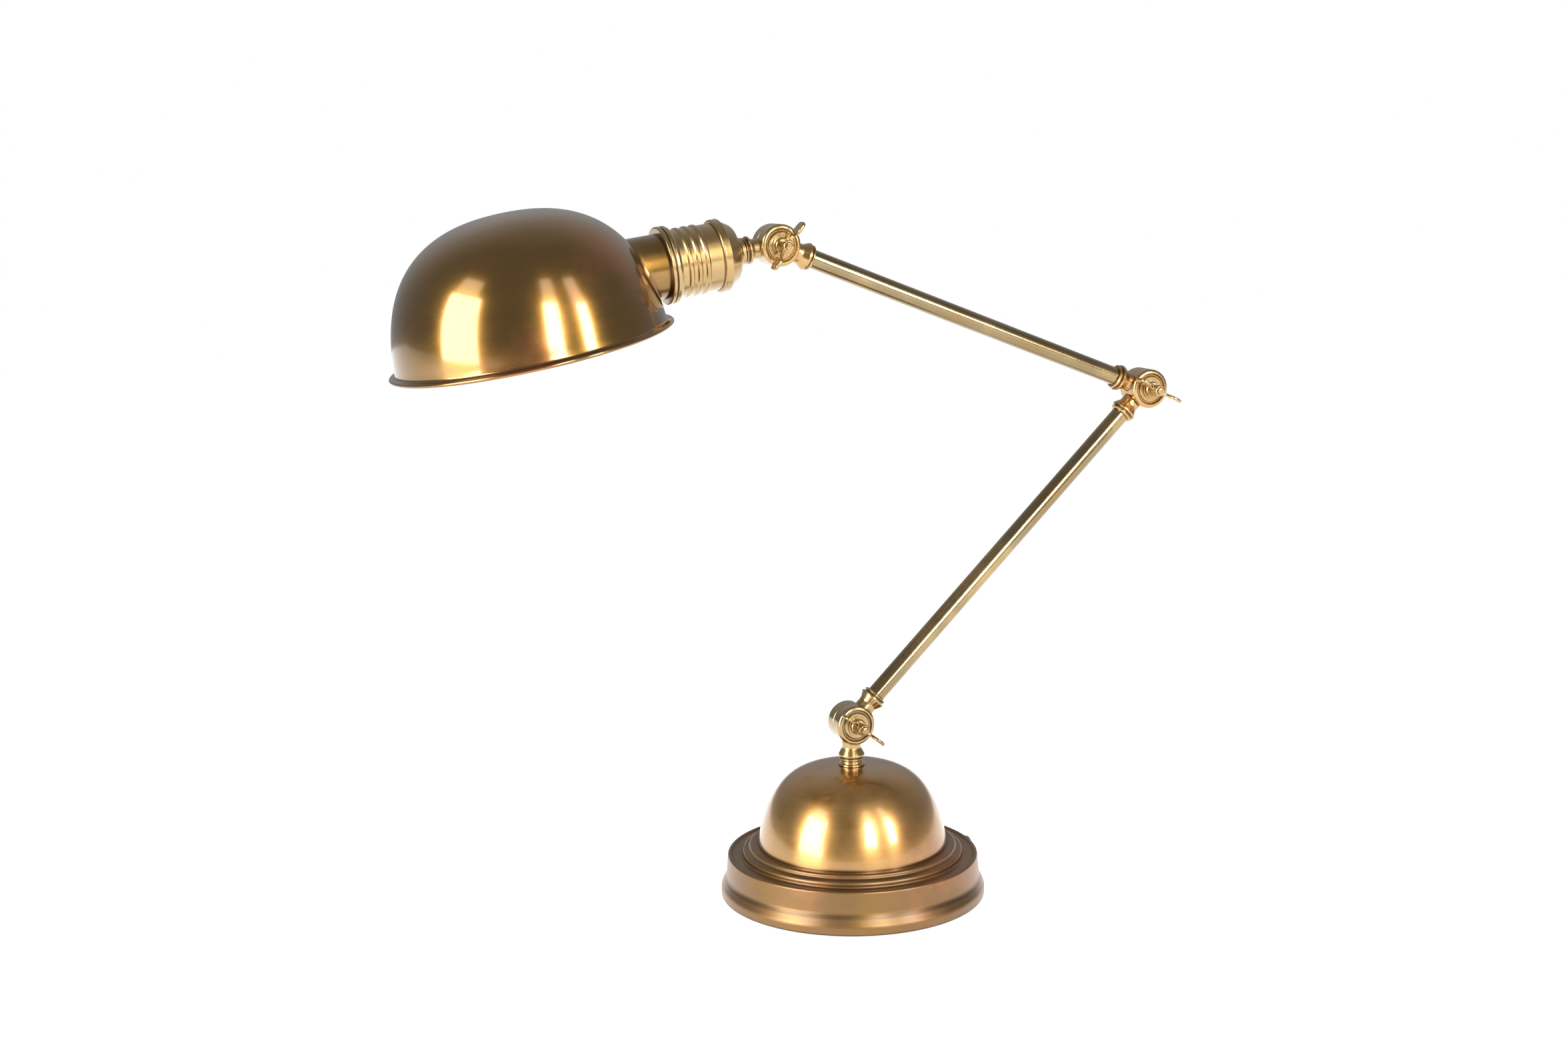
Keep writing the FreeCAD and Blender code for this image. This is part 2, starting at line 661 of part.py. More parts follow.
def gallery_ring():
    """The double ring that joins the shade's neck to the sleeve."""
    outer = SLEEVE_RADIUS + RING_STAND
    step = SLEEVE_END + SEAT_GAP
    groove = RING_END - 2.9
    return spun([
        (SLEEVE_RADIUS + FIT, RING_START),
        (outer - 1.3, RING_START, 0.6),
        (outer, RING_START + 1.9, 1.2),
        (outer - 0.3, groove - 0.5, 0.6),
        (outer - 1.8, groove, 0.3),
        (outer, groove + 0.6, 0.6),
        (outer, RING_END, 0.9),
        (SHADE_NECK_RADIUS + FIT, RING_END),
        (SHADE_NECK_RADIUS + FIT, step),
        (SLEEVE_RADIUS + FIT, step),
    ])


def lampholder_body():
    """The porcelain insert that carries the contacts."""
    flange = SLEEVE_INSIDE - SEAT_GAP
    back = HOLDER_SEAT + SEAT_GAP
    floor = CONTACT_FLOOR - SEAT_GAP
    return spun([
        (HOLDER_STEM, back),
        (flange, back, 0.4),
        (flange, back + 3.8, 0.4),
        (HOLDER_RADIUS, back + 4.4, 0.4),
        (HOLDER_RADIUS, HOLDER_END, 0.8),
        (THREAD_RADIUS + FIT, HOLDER_END, 0.4),
        (THREAD_RADIUS + FIT, floor),
        (0, floor),
        (0, floor - 5.0),
        (HOLDER_STEM, floor - 5.0, 0.8),
    ])


def thread_shell():
    inside = THREAD_RADIUS - THREAD_WALL
    mouth = HOLDER_END - 0.4
    hole = LEAF_REACH + 1.1
    return spun([
        (hole, CONTACT_FLOOR),
        (THREAD_RADIUS, CONTACT_FLOOR, 1.0),
        (THREAD_RADIUS, mouth),
        (inside, mouth),
        (inside, CONTACT_FLOOR + THREAD_WALL, 0.5),
        (hole, CONTACT_FLOOR + THREAD_WALL),
    ])


def centre_contact():
    """A bent leaf that presses on the tip of the bulb."""
    floor = CONTACT_FLOOR
    tip = BULB_CAP_START - SEAT_GAP
    leaf = Part.Face(Part.Wire(outline_edges([
        (-LEAF_REACH, floor),
        (-2.5, floor, 1.0),
        (2.0, tip - 0.5, 1.0),
        (4.5, tip - 0.5),
        (4.5, tip),
        (1.9, tip, 1.4),
        (-2.7, floor + 0.5, 1.4),
        (-LEAF_REACH, floor + 0.5),
    ], True)))
    strip = outward(leaf.extrude(Vector(0, 5, 0)))
    strip.translate(Vector(0, -2.5, 0))
    return strip


def bulb_cap():
    tip = BULB_CAP_START
    recess = BULB_CAP_RADIUS - 0.5
    return spun([
        (0, tip),
        (4.6, tip, 0.6),
        (5.2, tip + 1.2),
        (BULB_CAP_RADIUS - 2.2, tip + 2.8),
        (BULB_CAP_RADIUS, tip + 4.0, 0.8),
        (BULB_CAP_RADIUS, GLASS_START),
        (recess, GLASS_START),
        (recess, GLASS_START - 4.0),
        (0, GLASS_START - 4.0),
    ])


def bulb_outline(inset):
    """The pear shape of the glass, open at the neck."""
    neck = BULB_CAP_RADIUS - 0.6 - inset
    radius = BULB_RADIUS - inset
    start = GLASS_START - 3.8
    centre = BULB_CAP_START + BULB_LENGTH - BULB_RADIUS
    lean = math.radians(30)
    tangent = Vector(radius * math.cos(lean), 0, centre - radius * math.sin(lean))
    end = Vector(0, 0, centre + radius)
    bend = Vector(neck, 0, tangent.z - (tangent.x - neck) / math.tan(lean))
    neck_end = max(bend.z, start + 3.0)
    wall = outline_edges([(neck, start), (neck, neck_end, 6.0), (tangent.x, tangent.z)], False)
    crown_middle = Vector(radius * math.cos(lean), 0, centre + radius * math.sin(lean))
    crown = Part.Arc(tangent, crown_middle, end).toShape()
    close = [Part.LineSegment(end, Vector(0, 0, start)).toShape(),
             Part.LineSegment(Vector(0, 0, start), Vector(neck, 0, start)).toShape()]
    return Part.Face(Part.Wire(wall + [crown] + close))


def bulb_glass():
    return spun_face(bulb_outline(0)).cut(spun_face(bulb_outline(GLASS_WALL)))


# ---------------------------------------------------------------- shade

SHADE = Dome(SHADE_RADIUS, 0.0, SHADE_HEIGHT, SHADE_SINK, SHADE_FLANK, SHADE_CROWN)


def shade_placed(shape, rim_centre):
    return along(shape, rim_centre, 90 + SHADE_TILT)


def shade_shell():
    """The spun dome, its foot flared out to a rolled rim."""
    shell = SHADE.solid(0.2).cut(SHADE.inset(SHADE_WALL).solid(0.2 - EPS))
    side = SHADE.radius_at(3.0)
    roll = SHADE_RADIUS + RIM_FLARE - ROLL_RADIUS
    flare = spun([
        (side - SHADE_WALL, 0.6),
        (roll, 0.6),
        (roll, ROLL_RADIUS * 2 - 0.3),
        (side + 0.2, ROLL_RADIUS * 2 - 0.3, 2.0),
        (side - 0.1, 6.5),
        (side - SHADE_WALL, 6.5),
    ])
    bead = Part.makeTorus(roll, ROLL_RADIUS).translated(Vector(0, 0, ROLL_RADIUS))
    return shell.fuse([flare, bead]).removeSplitter()


# ---------------------------------------------------------------- assembly

base_hinge = Vector(0, 0, NECK_TOP + ARM_REACH)
elbow_hinge = base_hinge + direction(LOWER_ARM_ANGLE) * LOWER_ARM_LENGTH
head_hinge = elbow_hinge + direction(UPPER_ARM_ANGLE) * UPPER_ARM_LENGTH
HEAD_ANGLE = 180 + HEAD_PITCH
cap_seat = head_hinge + direction(HEAD_ANGLE) * (HEAD_REACH + SEAT_GAP)
shade_axis = direction(90 + SHADE_TILT)
shade_reach = RING_END + SHADE_GAP + SHADE_RADIUS
rim_centre = cap_seat + direction(HEAD_ANGLE) * shade_reach - shade_axis * SHADE_ENTRY


def on_holder(shape):
    return along(shape, cap_seat, HEAD_ANGLE)


def base_parts():
    return {
        "felt_pad": felt_pad(),
        "base_plate": base_plate(),
        "plate_screws": plate_screws(),
        "base_weight": base_weight(),
        "base_skirt": base_skirt(),
        "base_dome": base_dome(),
        "stem_washer": stem_washer(),
        "stem_nut": stem_nut(),
        "threaded_stem": threaded_stem(),
        "cord_grommet": cord_grommet(),
        "neck_ring": neck_ring(),
        "base_knuckle": along(knuckle_half(BACK, STEM_RADIUS), base_hinge, -90),
    }


def arm_parts(name, start, angle, length, first_side, last_side):
    """A tube with a knuckle casting on each end."""
    end = start + direction(angle) * length
    return {
        name + "_arm_tube": along(arm_tube(length), start, angle),
        name + "_arm_first_knuckle": along(knuckle_half(first_side, TUBE_RADIUS), start, angle),
        name + "_arm_last_knuckle": along(knuckle_half(last_side, TUBE_RADIUS), end, angle + 180),
    }


def hinge_parts(name, centre, nut_angle):
    return {
        name + "_pin": hinge_pin().translated(centre),
        name + "_pin_washers": pin_washers().translated(centre),
        name + "_wing_nut": along(wing_nut(), centre, nut_angle),
    }


def head_parts():
    knuckle = knuckle_half(FRONT, STEM_RADIUS, HEAD_REACH, HEAD_FLARE)
    neck_start = SLEEVE_END + 2 * SEAT_GAP
    neck = ring(SHADE_NECK_RADIUS - SHADE_WALL, SHADE_NECK_RADIUS, neck_start, shade_reach)
    inside = shade_placed(SHADE.inset(SHADE_WALL + NECK_INSIDE).solid(0.0), rim_centre)
    hole = on_holder(rod(SHADE_NECK_RADIUS + FIT, RING_END, shade_reach))
    return {
        "head_knuckle": along(knuckle, head_hinge, HEAD_ANGLE),
        "head_nipple": on_holder(head_nipple()),
        "cap_nut": on_holder(cap_nut()),
        "socket_cap": on_holder(socket_cap()),
        "socket_sleeve": on_holder(socket_sleeve()),
        "gallery_ring": on_holder(gallery_ring()),
        "lampholder_body": on_holder(lampholder_body()),
        "thread_shell": on_holder(thread_shell()),
        "centre_contact": on_holder(centre_contact()),
        "bulb_cap": on_holder(bulb_cap()),
        "bulb_glass": on_holder(bulb_glass()),
        "shade_neck": on_holder(neck).cut(inside),
        "shade": shade_placed(shade_shell(), rim_centre).cut(hole),
    }


def build():
    parts = base_parts()
    parts.update(arm_parts("lower", base_hinge, LOWER_ARM_ANGLE, LOWER_ARM_LENGTH, FRONT, BACK))
    parts.update(arm_parts("upper", elbow_hinge, UPPER_ARM_ANGLE, UPPER_ARM_LENGTH, FRONT, BACK))
    parts.update(head_parts())
    parts.update(hinge_parts("base", base_hinge, BASE_NUT_ANGLE))
    parts.update(hinge_parts("elbow", elbow_hinge, ELBOW_NUT_ANGLE))
    parts.update(hinge_parts("head", head_hinge, HEAD_NUT_ANGLE))
    return parts


def main():
    os.makedirs("parts", exist_ok=True)
    for name, shape in build().items():
        solids = shape.Solids
        body = solids[0] if len(solids) == 1 else Part.makeCompound(solids)
        body.exportStep("parts/" + name + ".step")
        print(name, len(solids), "solids", round(body.Volume / 1000, 2), "cm3", body.isValid())


main()
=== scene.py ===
import json
import math

import bmesh
import bpy
from bpy.props import FloatProperty, FloatVectorProperty, IntProperty, PointerProperty
from mathutils import Matrix, Vector


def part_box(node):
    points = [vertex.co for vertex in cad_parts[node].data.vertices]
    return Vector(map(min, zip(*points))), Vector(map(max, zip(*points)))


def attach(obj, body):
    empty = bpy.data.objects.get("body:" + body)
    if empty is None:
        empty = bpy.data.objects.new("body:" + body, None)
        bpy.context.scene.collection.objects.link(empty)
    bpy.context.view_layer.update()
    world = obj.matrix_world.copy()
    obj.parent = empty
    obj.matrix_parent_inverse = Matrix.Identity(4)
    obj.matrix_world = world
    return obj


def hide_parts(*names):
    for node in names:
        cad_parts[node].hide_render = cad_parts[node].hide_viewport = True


bl_info = {
    "name": "Dome Shade Desk Lamp",
    "version": (1, 0, 0),
    "blender": (4, 5, 0),
    "location": "3D View > Sidebar > Desk Lamp",
    "description": "Builds a dome shade desk lamp in antique brass round its packed frame",
    "category": "Add Mesh",
}

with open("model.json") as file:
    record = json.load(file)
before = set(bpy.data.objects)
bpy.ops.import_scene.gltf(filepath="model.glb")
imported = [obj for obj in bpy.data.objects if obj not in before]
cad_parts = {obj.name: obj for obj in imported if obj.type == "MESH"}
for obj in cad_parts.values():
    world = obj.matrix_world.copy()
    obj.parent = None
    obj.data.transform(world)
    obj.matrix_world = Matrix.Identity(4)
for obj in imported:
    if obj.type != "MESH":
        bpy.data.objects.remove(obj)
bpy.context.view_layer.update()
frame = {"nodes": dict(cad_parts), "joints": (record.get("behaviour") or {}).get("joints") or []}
hinges = {joint["name"]: Vector(joint["pos_m"]) for joint in frame["joints"]}

MM = 0.001
BASE_HINGE = hinges["base_tilt"]
ELBOW_HINGE = hinges["elbow_fold"]
HEAD_HINGE = hinges["head_tilt"]
UP = Vector((0, 0, 1))
STANDING = (Vector((0, 0, 0)), UP)
SHADED_ANGLE = math.radians(38)      # a sharper corner than this keeps its edge
EYE_HEIGHT = 0.2                     # middle of the desk lamp, which the soft lamps face
BACKDROP_AZIMUTH = math.radians(159)

KNUCKLES = {
    "base_knuckle": BASE_HINGE,
    "lower_arm_first_knuckle": BASE_HINGE,
    "lower_arm_last_knuckle": ELBOW_HINGE,
    "upper_arm_first_knuckle": ELBOW_HINGE,
    "upper_arm_last_knuckle": HEAD_HINGE,
    "head_knuckle": HEAD_HINGE,
}


# ---------------------------------------------------------------- what a user may change

class LampBrass(bpy.types.PropertyGroup):
    gold: FloatVectorProperty(
        name="Gold", description="Brass where the lacquer is thin",
        subtype="COLOR", default=(0.5, 0.27, 0.08), min=0, max=1)
    copper: FloatVectorProperty(
        name="Copper", description="Brass where the antiquing has turned it red",
        subtype="COLOR", default=(0.36, 0.15, 0.042), min=0, max=1)
    olive: FloatVectorProperty(
        name="Olive", description="Brass where the antiquing is brown and green",
        subtype="COLOR", default=(0.25, 0.128, 0.02), min=0, max=1)
    pale: FloatVectorProperty(
        name="Pale", description="Drawn and turned brass, barely antiqued",
        subtype="COLOR", default=(0.45, 0.3, 0.115), min=0, max=1)
    drawn: FloatVectorProperty(
        name="Drawn", description="The arm tubes, dulled to a pale olive",
        subtype="COLOR", default=(0.24, 0.175, 0.075), min=0, max=1)
    aged: FloatVectorProperty(
        name="Aged", description="The foot's skirt, dulled and brown",
        subtype="COLOR", default=(0.195, 0.104, 0.039), min=0, max=1)
    # Dark antiquing colour, also used for painted shade in grooves, corners and gaps between parts
    antiquing_and_painted_shade: FloatVectorProperty(
        name="Recess", description="Dark antiquing left in grooves and corners",
        subtype="COLOR", default=(0.018, 0.008, 0.003), min=0, max=1)
    rubbed: FloatVectorProperty(
        name="Rubbed", description="Bare brass along worn edges",
        subtype="COLOR", default=(0.6, 0.42, 0.18), min=0, max=1)
    roughness: FloatProperty(
        name="Roughness", description="Of the polished sheet", subtype="FACTOR",
        default=0.25, min=0, max=1)


class LampFoot(bpy.types.PropertyGroup):
    wall_radius: FloatProperty(
        name="Wall Radius", description="Top of the upright wall", unit="LENGTH",
        default=82.3 * MM, min=0.02)
    flare: FloatProperty(
        name="Flare", description="The foot's edge beyond the wall", unit="LENGTH",
        default=4.7 * MM, min=0)
    ledge_height: FloatProperty(
        name="Ledge Height", description="Flat ledge above the table", unit="LENGTH",
        default=27.2 * MM, min=0.005)
    dome_radius: FloatProperty(
        name="Dome Radius", description="The dome at its widest level", unit="LENGTH",
        default=62.3 * MM, min=0.01)
    dome_rise: FloatProperty(
        name="Dome Rise", description="Dome above the second step", unit="LENGTH",
        default=52.4 * MM, min=0.005)


class LampHolder(bpy.types.PropertyGroup):
    pitch: FloatProperty(
        name="Pitch", description="How far the lampholder points down", subtype="ANGLE",
        default=math.radians(8.2))
    seat: FloatProperty(
        name="Seat", description="Hinge to the back of the bell cap", unit="LENGTH",
        default=22.7 * MM, min=0)
    sleeve_radius: FloatProperty(
        name="Sleeve Radius", description="Outside of the beaded sleeve", unit="LENGTH",
        default=20.6 * MM, min=0.005)
    beads: IntProperty(
        name="Beads", description="Rolled beads on the sleeve", default=3, min=0, max=5)


class LampShade(bpy.types.PropertyGroup):
    radius: FloatProperty(
        name="Radius", description="Side of the shade at its widest level", unit="LENGTH",
        default=83.7 * MM, min=0.03)
    height: FloatProperty(
        name="Height", description="Rim to crown", unit="LENGTH", default=83.7 * MM, min=0.02)
    entry: FloatProperty(
        name="Entry", description="Height of the lampholder's axis over the rim",
        unit="LENGTH", default=36 * MM, min=0)
    tilt: FloatProperty(
        name="Tilt", description="How far the shade leans away from the lamp",
        subtype="ANGLE", default=math.radians(11.2))


class LampStudio(bpy.types.PropertyGroup):
    floor_colour: FloatVectorProperty(
        name="Floor", description="Pale sweep under the lamp", subtype="COLOR",
        default=(0.8, 0.8, 0.8), min=0, max=1)
    distance: FloatProperty(
        name="Distance", description="From the foot to each soft lamp", unit="LENGTH",
        default=2.6, min=0.5)
    softbox: FloatProperty(
        name="Softbox", description="Brightness of the large lamp on the left",
        default=10.0, min=0)
    strip: FloatProperty(
        name="Strips", description="Brightness of the two narrow lamps", default=16.0, min=0)
    glow: FloatProperty(
        name="Glow", description="Brightness of the cloth above each lamp", default=2.5, min=0)
    ambient: FloatProperty(
        name="Ambient", description="Plain light from all round", default=0.35, min=0)
    backdrop: FloatProperty(
        name="Backdrop", description="How pale the backdrop shows in the brass",
        default=0.42, min=0, max=1)
    room: FloatProperty(
        name="Room", description="How pale the rest of the room shows in the brass",
        default=0.28, min=0, max=1)
    lens: FloatProperty(
        name="Lens", description="Focal length of the camera, in millimetres", default=49.03,
        min=10)


# ---------------------------------------------------------------- finishes

class Value:
    """A number, colour or direction that varies over a finish, taken from a node's socket."""

    def __init__(self, finish, socket):
        self.finish = finish
        self.socket = socket

    def maths(self, operation, *others):
        return self.finish.maths(operation, self, *others)

    def __add__(self, other):
        return self.maths("ADD", other)

    def __sub__(self, other):
        return self.maths("SUBTRACT", other)

    def __rsub__(self, other):
        return self.finish.maths("SUBTRACT", other, self)

    def __mul__(self, other):
        return self.maths("MULTIPLY", other)

    def __truediv__(self, other):
        return self.maths("DIVIDE", other)

    __radd__ = __add__
    __rmul__ = __mul__

    def dot(self, other):
        return self.maths("DOT_PRODUCT", other)

    def length(self):
        return self.maths("LENGTH")

    def step(self, low, high):
        """0 below low, 1 above high, and smooth between them."""
        return self.finish.node(
            "ShaderNodeMapRange", {"interpolation_type": "SMOOTHSTEP"},
            {"Value": self, "From Min": low, "From Max": high})


class Finish:
    """One material, or the world, built up from nodes."""

    def __init__(self, name, kind=None):
        self.material = (bpy.data.materials if kind is None else kind).new(name)
        self.material.use_nodes = True
        self.tree = self.material.node_tree
        self.tree.nodes.clear()
        self.place = self.node("ShaderNodeTexCoord", out="Object" if kind is None else "Generated")

    def node(self, kind, settings=None, inputs=None, out=0):
        """Any node: its settings come first, then the values or links of its sockets."""
        made = self.tree.nodes.new(kind)
        for name, setting in (settings or {}).items():
            setattr(made, name, setting)
        for name, value in (inputs or {}).items():
            if isinstance(value, Value):
                self.tree.links.new(value.socket, made.inputs[name])
            else:
                made.inputs[name].default_value = value
        return Value(self, made.outputs[out]) if made.outputs else None

    def maths(self, operation, *terms):
        """Adds a Math node, or a Vector Math node where a term is a colour or a direction."""
        wide = any(is_wide(term) for term in terms)
        if wide:
            terms = [(term,) * 3 if isinstance(term, (int, float)) else term for term in terms]
        kind = "ShaderNodeVectorMath" if wide else "ShaderNodeMath"
        single = operation in ("DOT_PRODUCT", "LENGTH")
        return self.node(
            kind, {"operation": operation}, dict(enumerate(terms)), "Value" if single else 0)

    def blend(self, share, first, second):
        """One colour over another."""
        return self.node(
            "ShaderNodeMix", {"data_type": "RGBA"},
            {0: share, 6: opaque(first), 7: opaque(second)}, 2)

    def cloud(self, size, place=None, detail=3.0, roughness=0.5):
        """Soft blotches of about a size, in metres, from 0 to 1."""
        return self.node("ShaderNodeTexNoise", {}, {
            "Vector": self.place if place is None else place,
            "Scale": 1 / size, "Detail": detail, "Roughness": roughness})

    def corners(self, reach):
        """1 in grooves and corners that are narrower than reach, 0 in the open, as ambient occlusion
        finds them; it drives painted shade.
        """
        open_share = self.node(
            "ShaderNodeAmbientOcclusion", {"samples": 8}, {"Distance": reach}, "AO")
        return 1 - open_share

    def softened(self, radius):
        """The surface's direction, with its sharp edges rounded."""
        return self.node("ShaderNodeBevel", {"samples": 6}, {"Radius": radius})

    def edges(self, radius):
        """1 on edges and in corners of about a radius, 0 on smooth faces."""
        true_face = self.node("ShaderNodeNewGeometry", out="Normal")
        return (1 - self.softened(radius).dot(true_face)) * 6

    def relief(self, height, depth, under=None):
        """Small relief: height runs from 0 to 1, and depth is in metres."""
        inputs = {"Height": height, "Distance": depth}
        if under is not None:
            inputs["Normal"] = under
        return self.node("ShaderNodeBump", {}, inputs)

    def done(self, **sockets):
        """Ends the material with a principled shader. Names take spaces for underscores."""
        inputs = {name.replace("_", " "): value for name, value in sockets.items()}
        shader = self.node("ShaderNodeBsdfPrincipled", {}, inputs)
        return self.shown(shader)

    def shown(self, shader):
        self.node("ShaderNodeOutputMaterial", {}, {"Surface": shader})
        return self.material


def is_wide(term):
    """Whether a term is a colour or a direction, and not one number."""
    if isinstance(term, Value):
        return term.socket.type != "VALUE"
    return not isinstance(term, (int, float))


def opaque(colour):
    return colour if isinstance(colour, Value) or len(colour) == 4 else (*colour, 1)


class Turning:
    """Where a point lies round a turned or spun piece: height along its axis, distance
    from it, and the direction out of it."""

    def __init__(self, finish, centre=(0, 0, 0), axis=(0, 0, 1)):
        self.finish = finish
        offset = finish.place - tuple(centre)
        self.height = offset.dot(tuple(axis))
        spoke = offset - self.height * tuple(axis)
        self.radius = spoke.length()
        self.out = spoke.maths("NORMALIZE")

    def lines(self, size, waver=1.2):
        """Fine rings left by the lathe, about a size apart, that fade in and out round it."""
        across = self.finish.node("ShaderNodeCombineXYZ", {}, {
            "X": self.radius / size, "Y": self.height / size, "Z": 0.0})
        return self.finish.node("ShaderNodeTexNoise", {}, {
            "Vector": across + self.out * waver, "Scale": 1.0, "Detail": 2.0, "Roughness": 0.6})


def antique_brass(name, brass, tones, turning_place=None, warm=0.4, dark=0.3, reach=5 * MM,
                  roughness=0.0, edge=0.35 * MM, rub=0.5, lines=0.3, wobble=0.12 * MM,
                  anisotropy=0.0, lacquer=0.1, coat=1.0, grain=0.003 * MM,
                  soften=True, painted_shade_bands=()):
    """Lacquered antique brass. Its three tones, the main, the warm and the dark one, run
    into each other in soft clouds, as far as warm and dark say. There are rings from the
    lathe, dark antiquing mixed with painted shade fills the grooves and corners, painted
    shade darkens rings between given heights, and the edges are rubbed bright. Reach,
    edge, wobble and grain are lengths."""
    finish = Finish(name)
    main_tone, warm_tone, dark_tone = tones
    patches = finish.cloud(80 * MM, detail=1.5)
    streaks = finish.cloud(17 * MM, detail=3.0, roughness=0.55)
    drift = patches * 0.7 + streaks * 0.3
    warm_share = drift.step(0.56 - warm * 0.3, 0.8 - warm * 0.3)
    dark_share = (1 - drift).step(0.58 - dark * 0.3, 0.86 - dark * 0.3) * 0.85
    tone = finish.blend(warm_share, main_tone, warm_tone)
    tone = finish.blend(dark_share, tone, dark_tone)
    if turning_place is None:
        marks = finish.cloud(0.8 * MM, detail=2.0)
    else:
        turning = Turning(finish, *turning_place)
        marks = turning.lines(0.5 * MM) * 0.5 + turning.lines(3.2 * MM, 0.5) * 0.5
    tone = tone * (1 + (marks - 0.5) * lines)
    # Painted shade: dark rings painted between two heights along the axis
    for low, high in painted_shade_bands:
        soft = (high - low) / 3
        ring = turning.height.step(low, low + soft) * (1 - turning.height.step(high - soft, high))
        tone = finish.blend(ring * (0.25 + patches * 0.5), tone, brass.antiquing_and_painted_shade)
    # Painted shade mixed with real antiquing: ambient occlusion darkens grooves, corners and gaps
    # between parts
    corners = finish.corners(reach)
    tone = finish.blend(corners.step(0.2, 0.65) * 0.9, tone, brass.antiquing_and_painted_shade)
    rubbed = finish.edges(edge).step(0.05, 0.6) * (1 - corners.step(0.3, 0.6))
    tone = finish.blend(rubbed * (0.55 + streaks * 0.45) * rub, tone, brass.rubbed)
    surface = finish.softened(edge) if soften else None
    surface = finish.relief(patches * 0.35 + streaks * 0.65, wobble, surface)
    surface = finish.relief(marks, grain, surface)
    return finish.done(
        Base_Color=tone,
        Metallic=1.0,
        Roughness=(brass.roughness + roughness + (streaks - 0.5) * 0.1 + (marks - 0.5) * 0.08
                   + corners * 0.15),
        Anisotropic=anisotropy,
        Anisotropic_Rotation=0.25,
        Coat_Weight=coat * (1 - corners.step(0.2, 0.7) * 0.6),
        Coat_Roughness=lacquer,
        Coat_IOR=1.55,
        Normal=surface)


def plain_metal(name, colour, dark, roughness, grain):
    """Bare plate or bar: cloudy, with fine scratches, and painted shade darkening its corners."""
    finish = Finish(name)
    clouds = finish.cloud(9 * MM, detail=4.0)
    stretched = finish.place * (1.0, 0.06, 0.25)
    scratches = finish.cloud(grain, stretched, detail=3.0)
    tone = finish.blend(clouds.step(0.35, 0.75) * 0.6, colour, dark)
    tone = tone * (0.85 + scratches * 0.3)
    # Painted shade: ambient occlusion darkens corners towards the dark colour
    tone = finish.blend(finish.corners(3 * MM).step(0.3, 0.9) * 0.7, tone, dark)
    surface = finish.relief(scratches, 0.006 * MM, finish.softened(0.2 * MM))
    return finish.done(
        Base_Color=tone, Metallic=1.0, Roughness=roughness + scratches * 0.2, Normal=surface)


def felt():
    """Pressed wool: short fibres that lie all ways."""
    finish = Finish("felt")
    drift = finish.cloud(4 * MM, detail=4.0)
    fibres = finish.cloud(0.35 * MM, finish.place * (1.0, 3.5, 1.0) + drift * 0.002, detail=4.0)
    crossing = finish.cloud(0.35 * MM, finish.place * (3.5, 1.0, 1.0) + drift * 0.002, detail=4.0)
    nap = fibres * 0.5 + crossing * 0.5
    tone = finish.blend(nap.step(0.3, 0.7), (0.012, 0.012, 0.011), (0.045, 0.042, 0.038))
    tone = finish.blend(drift.step(0.5, 0.8) * 0.3, tone, (0.03, 0.026, 0.02))
    return finish.done(
        Base_Color=tone, Roughness=0.96 - nap * 0.1, Sheen_Weight=0.4, Sheen_Roughness=0.5,
        Normal=finish.relief(nap, 0.25 * MM))


def cast_iron():
    """Rough cast weight with a thin dark paint."""
    finish = Finish("cast_weight")
    lumps = finish.cloud(2.2 * MM, detail=5.0, roughness=0.65)
    stains = finish.cloud(18 * MM, detail=3.0)
    tone = finish.blend(stains.step(0.4, 0.7), (0.035, 0.034, 0.033), (0.06, 0.048, 0.04))
    return finish.done(
        Base_Color=tone * (0.7 + lumps * 0.6), Roughness=0.6 + lumps * 0.25,
        Normal=finish.relief(lumps, 0.3 * MM, finish.softened(0.4 * MM)))


def porcelain():
    """Glazed ceramic, thin and creamy at its edges, with painted shade darkening its corners."""
    finish = Finish("porcelain")
    clouds = finish.cloud(12 * MM, detail=3.0)
    pits = finish.cloud(0.8 * MM, detail=2.0)
    glaze = finish.blend(clouds, (0.78, 0.75, 0.68), (0.84, 0.82, 0.77))
    glaze = finish.blend(finish.edges(0.5 * MM).step(0.1, 0.8) * 0.5, glaze, (0.6, 0.54, 0.44))
    # Painted shade: ambient occlusion darkens the glaze in corners
    glaze = finish.blend(finish.corners(4 * MM).step(0.4, 0.95) * 0.5, glaze, (0.3, 0.25, 0.2))
    return finish.done(
        Base_Color=glaze, Roughness=0.16 + pits.step(0.55, 0.8) * 0.3, Coat_Weight=0.5,
        Coat_Roughness=0.05,
        Normal=finish.relief(clouds * 0.7 + pits * 0.3, 0.05 * MM, finish.softened(0.4 * MM)))


def frosted_glass():
    """The bulb: glass etched on the inside, milky and soft."""
    finish = Finish("frosted_glass")
    clouds = finish.cloud(26 * MM, detail=2.0)
    grain = finish.cloud(0.4 * MM, detail=2.0)
    tone = finish.blend(clouds, (0.8, 0.8, 0.77), (0.88, 0.88, 0.86))
    return finish.done(
        Base_Color=tone, Roughness=0.22 + grain * 0.12, Subsurface_Weight=0.4,
        Subsurface_Radius=(0.004, 0.004, 0.004), Subsurface_Scale=1.0, Coat_Weight=0.6,
        Coat_Roughness=0.08, Normal=finish.relief(grain, 0.01 * MM))


# ---------------------------------------------------------------- outlines and meshes

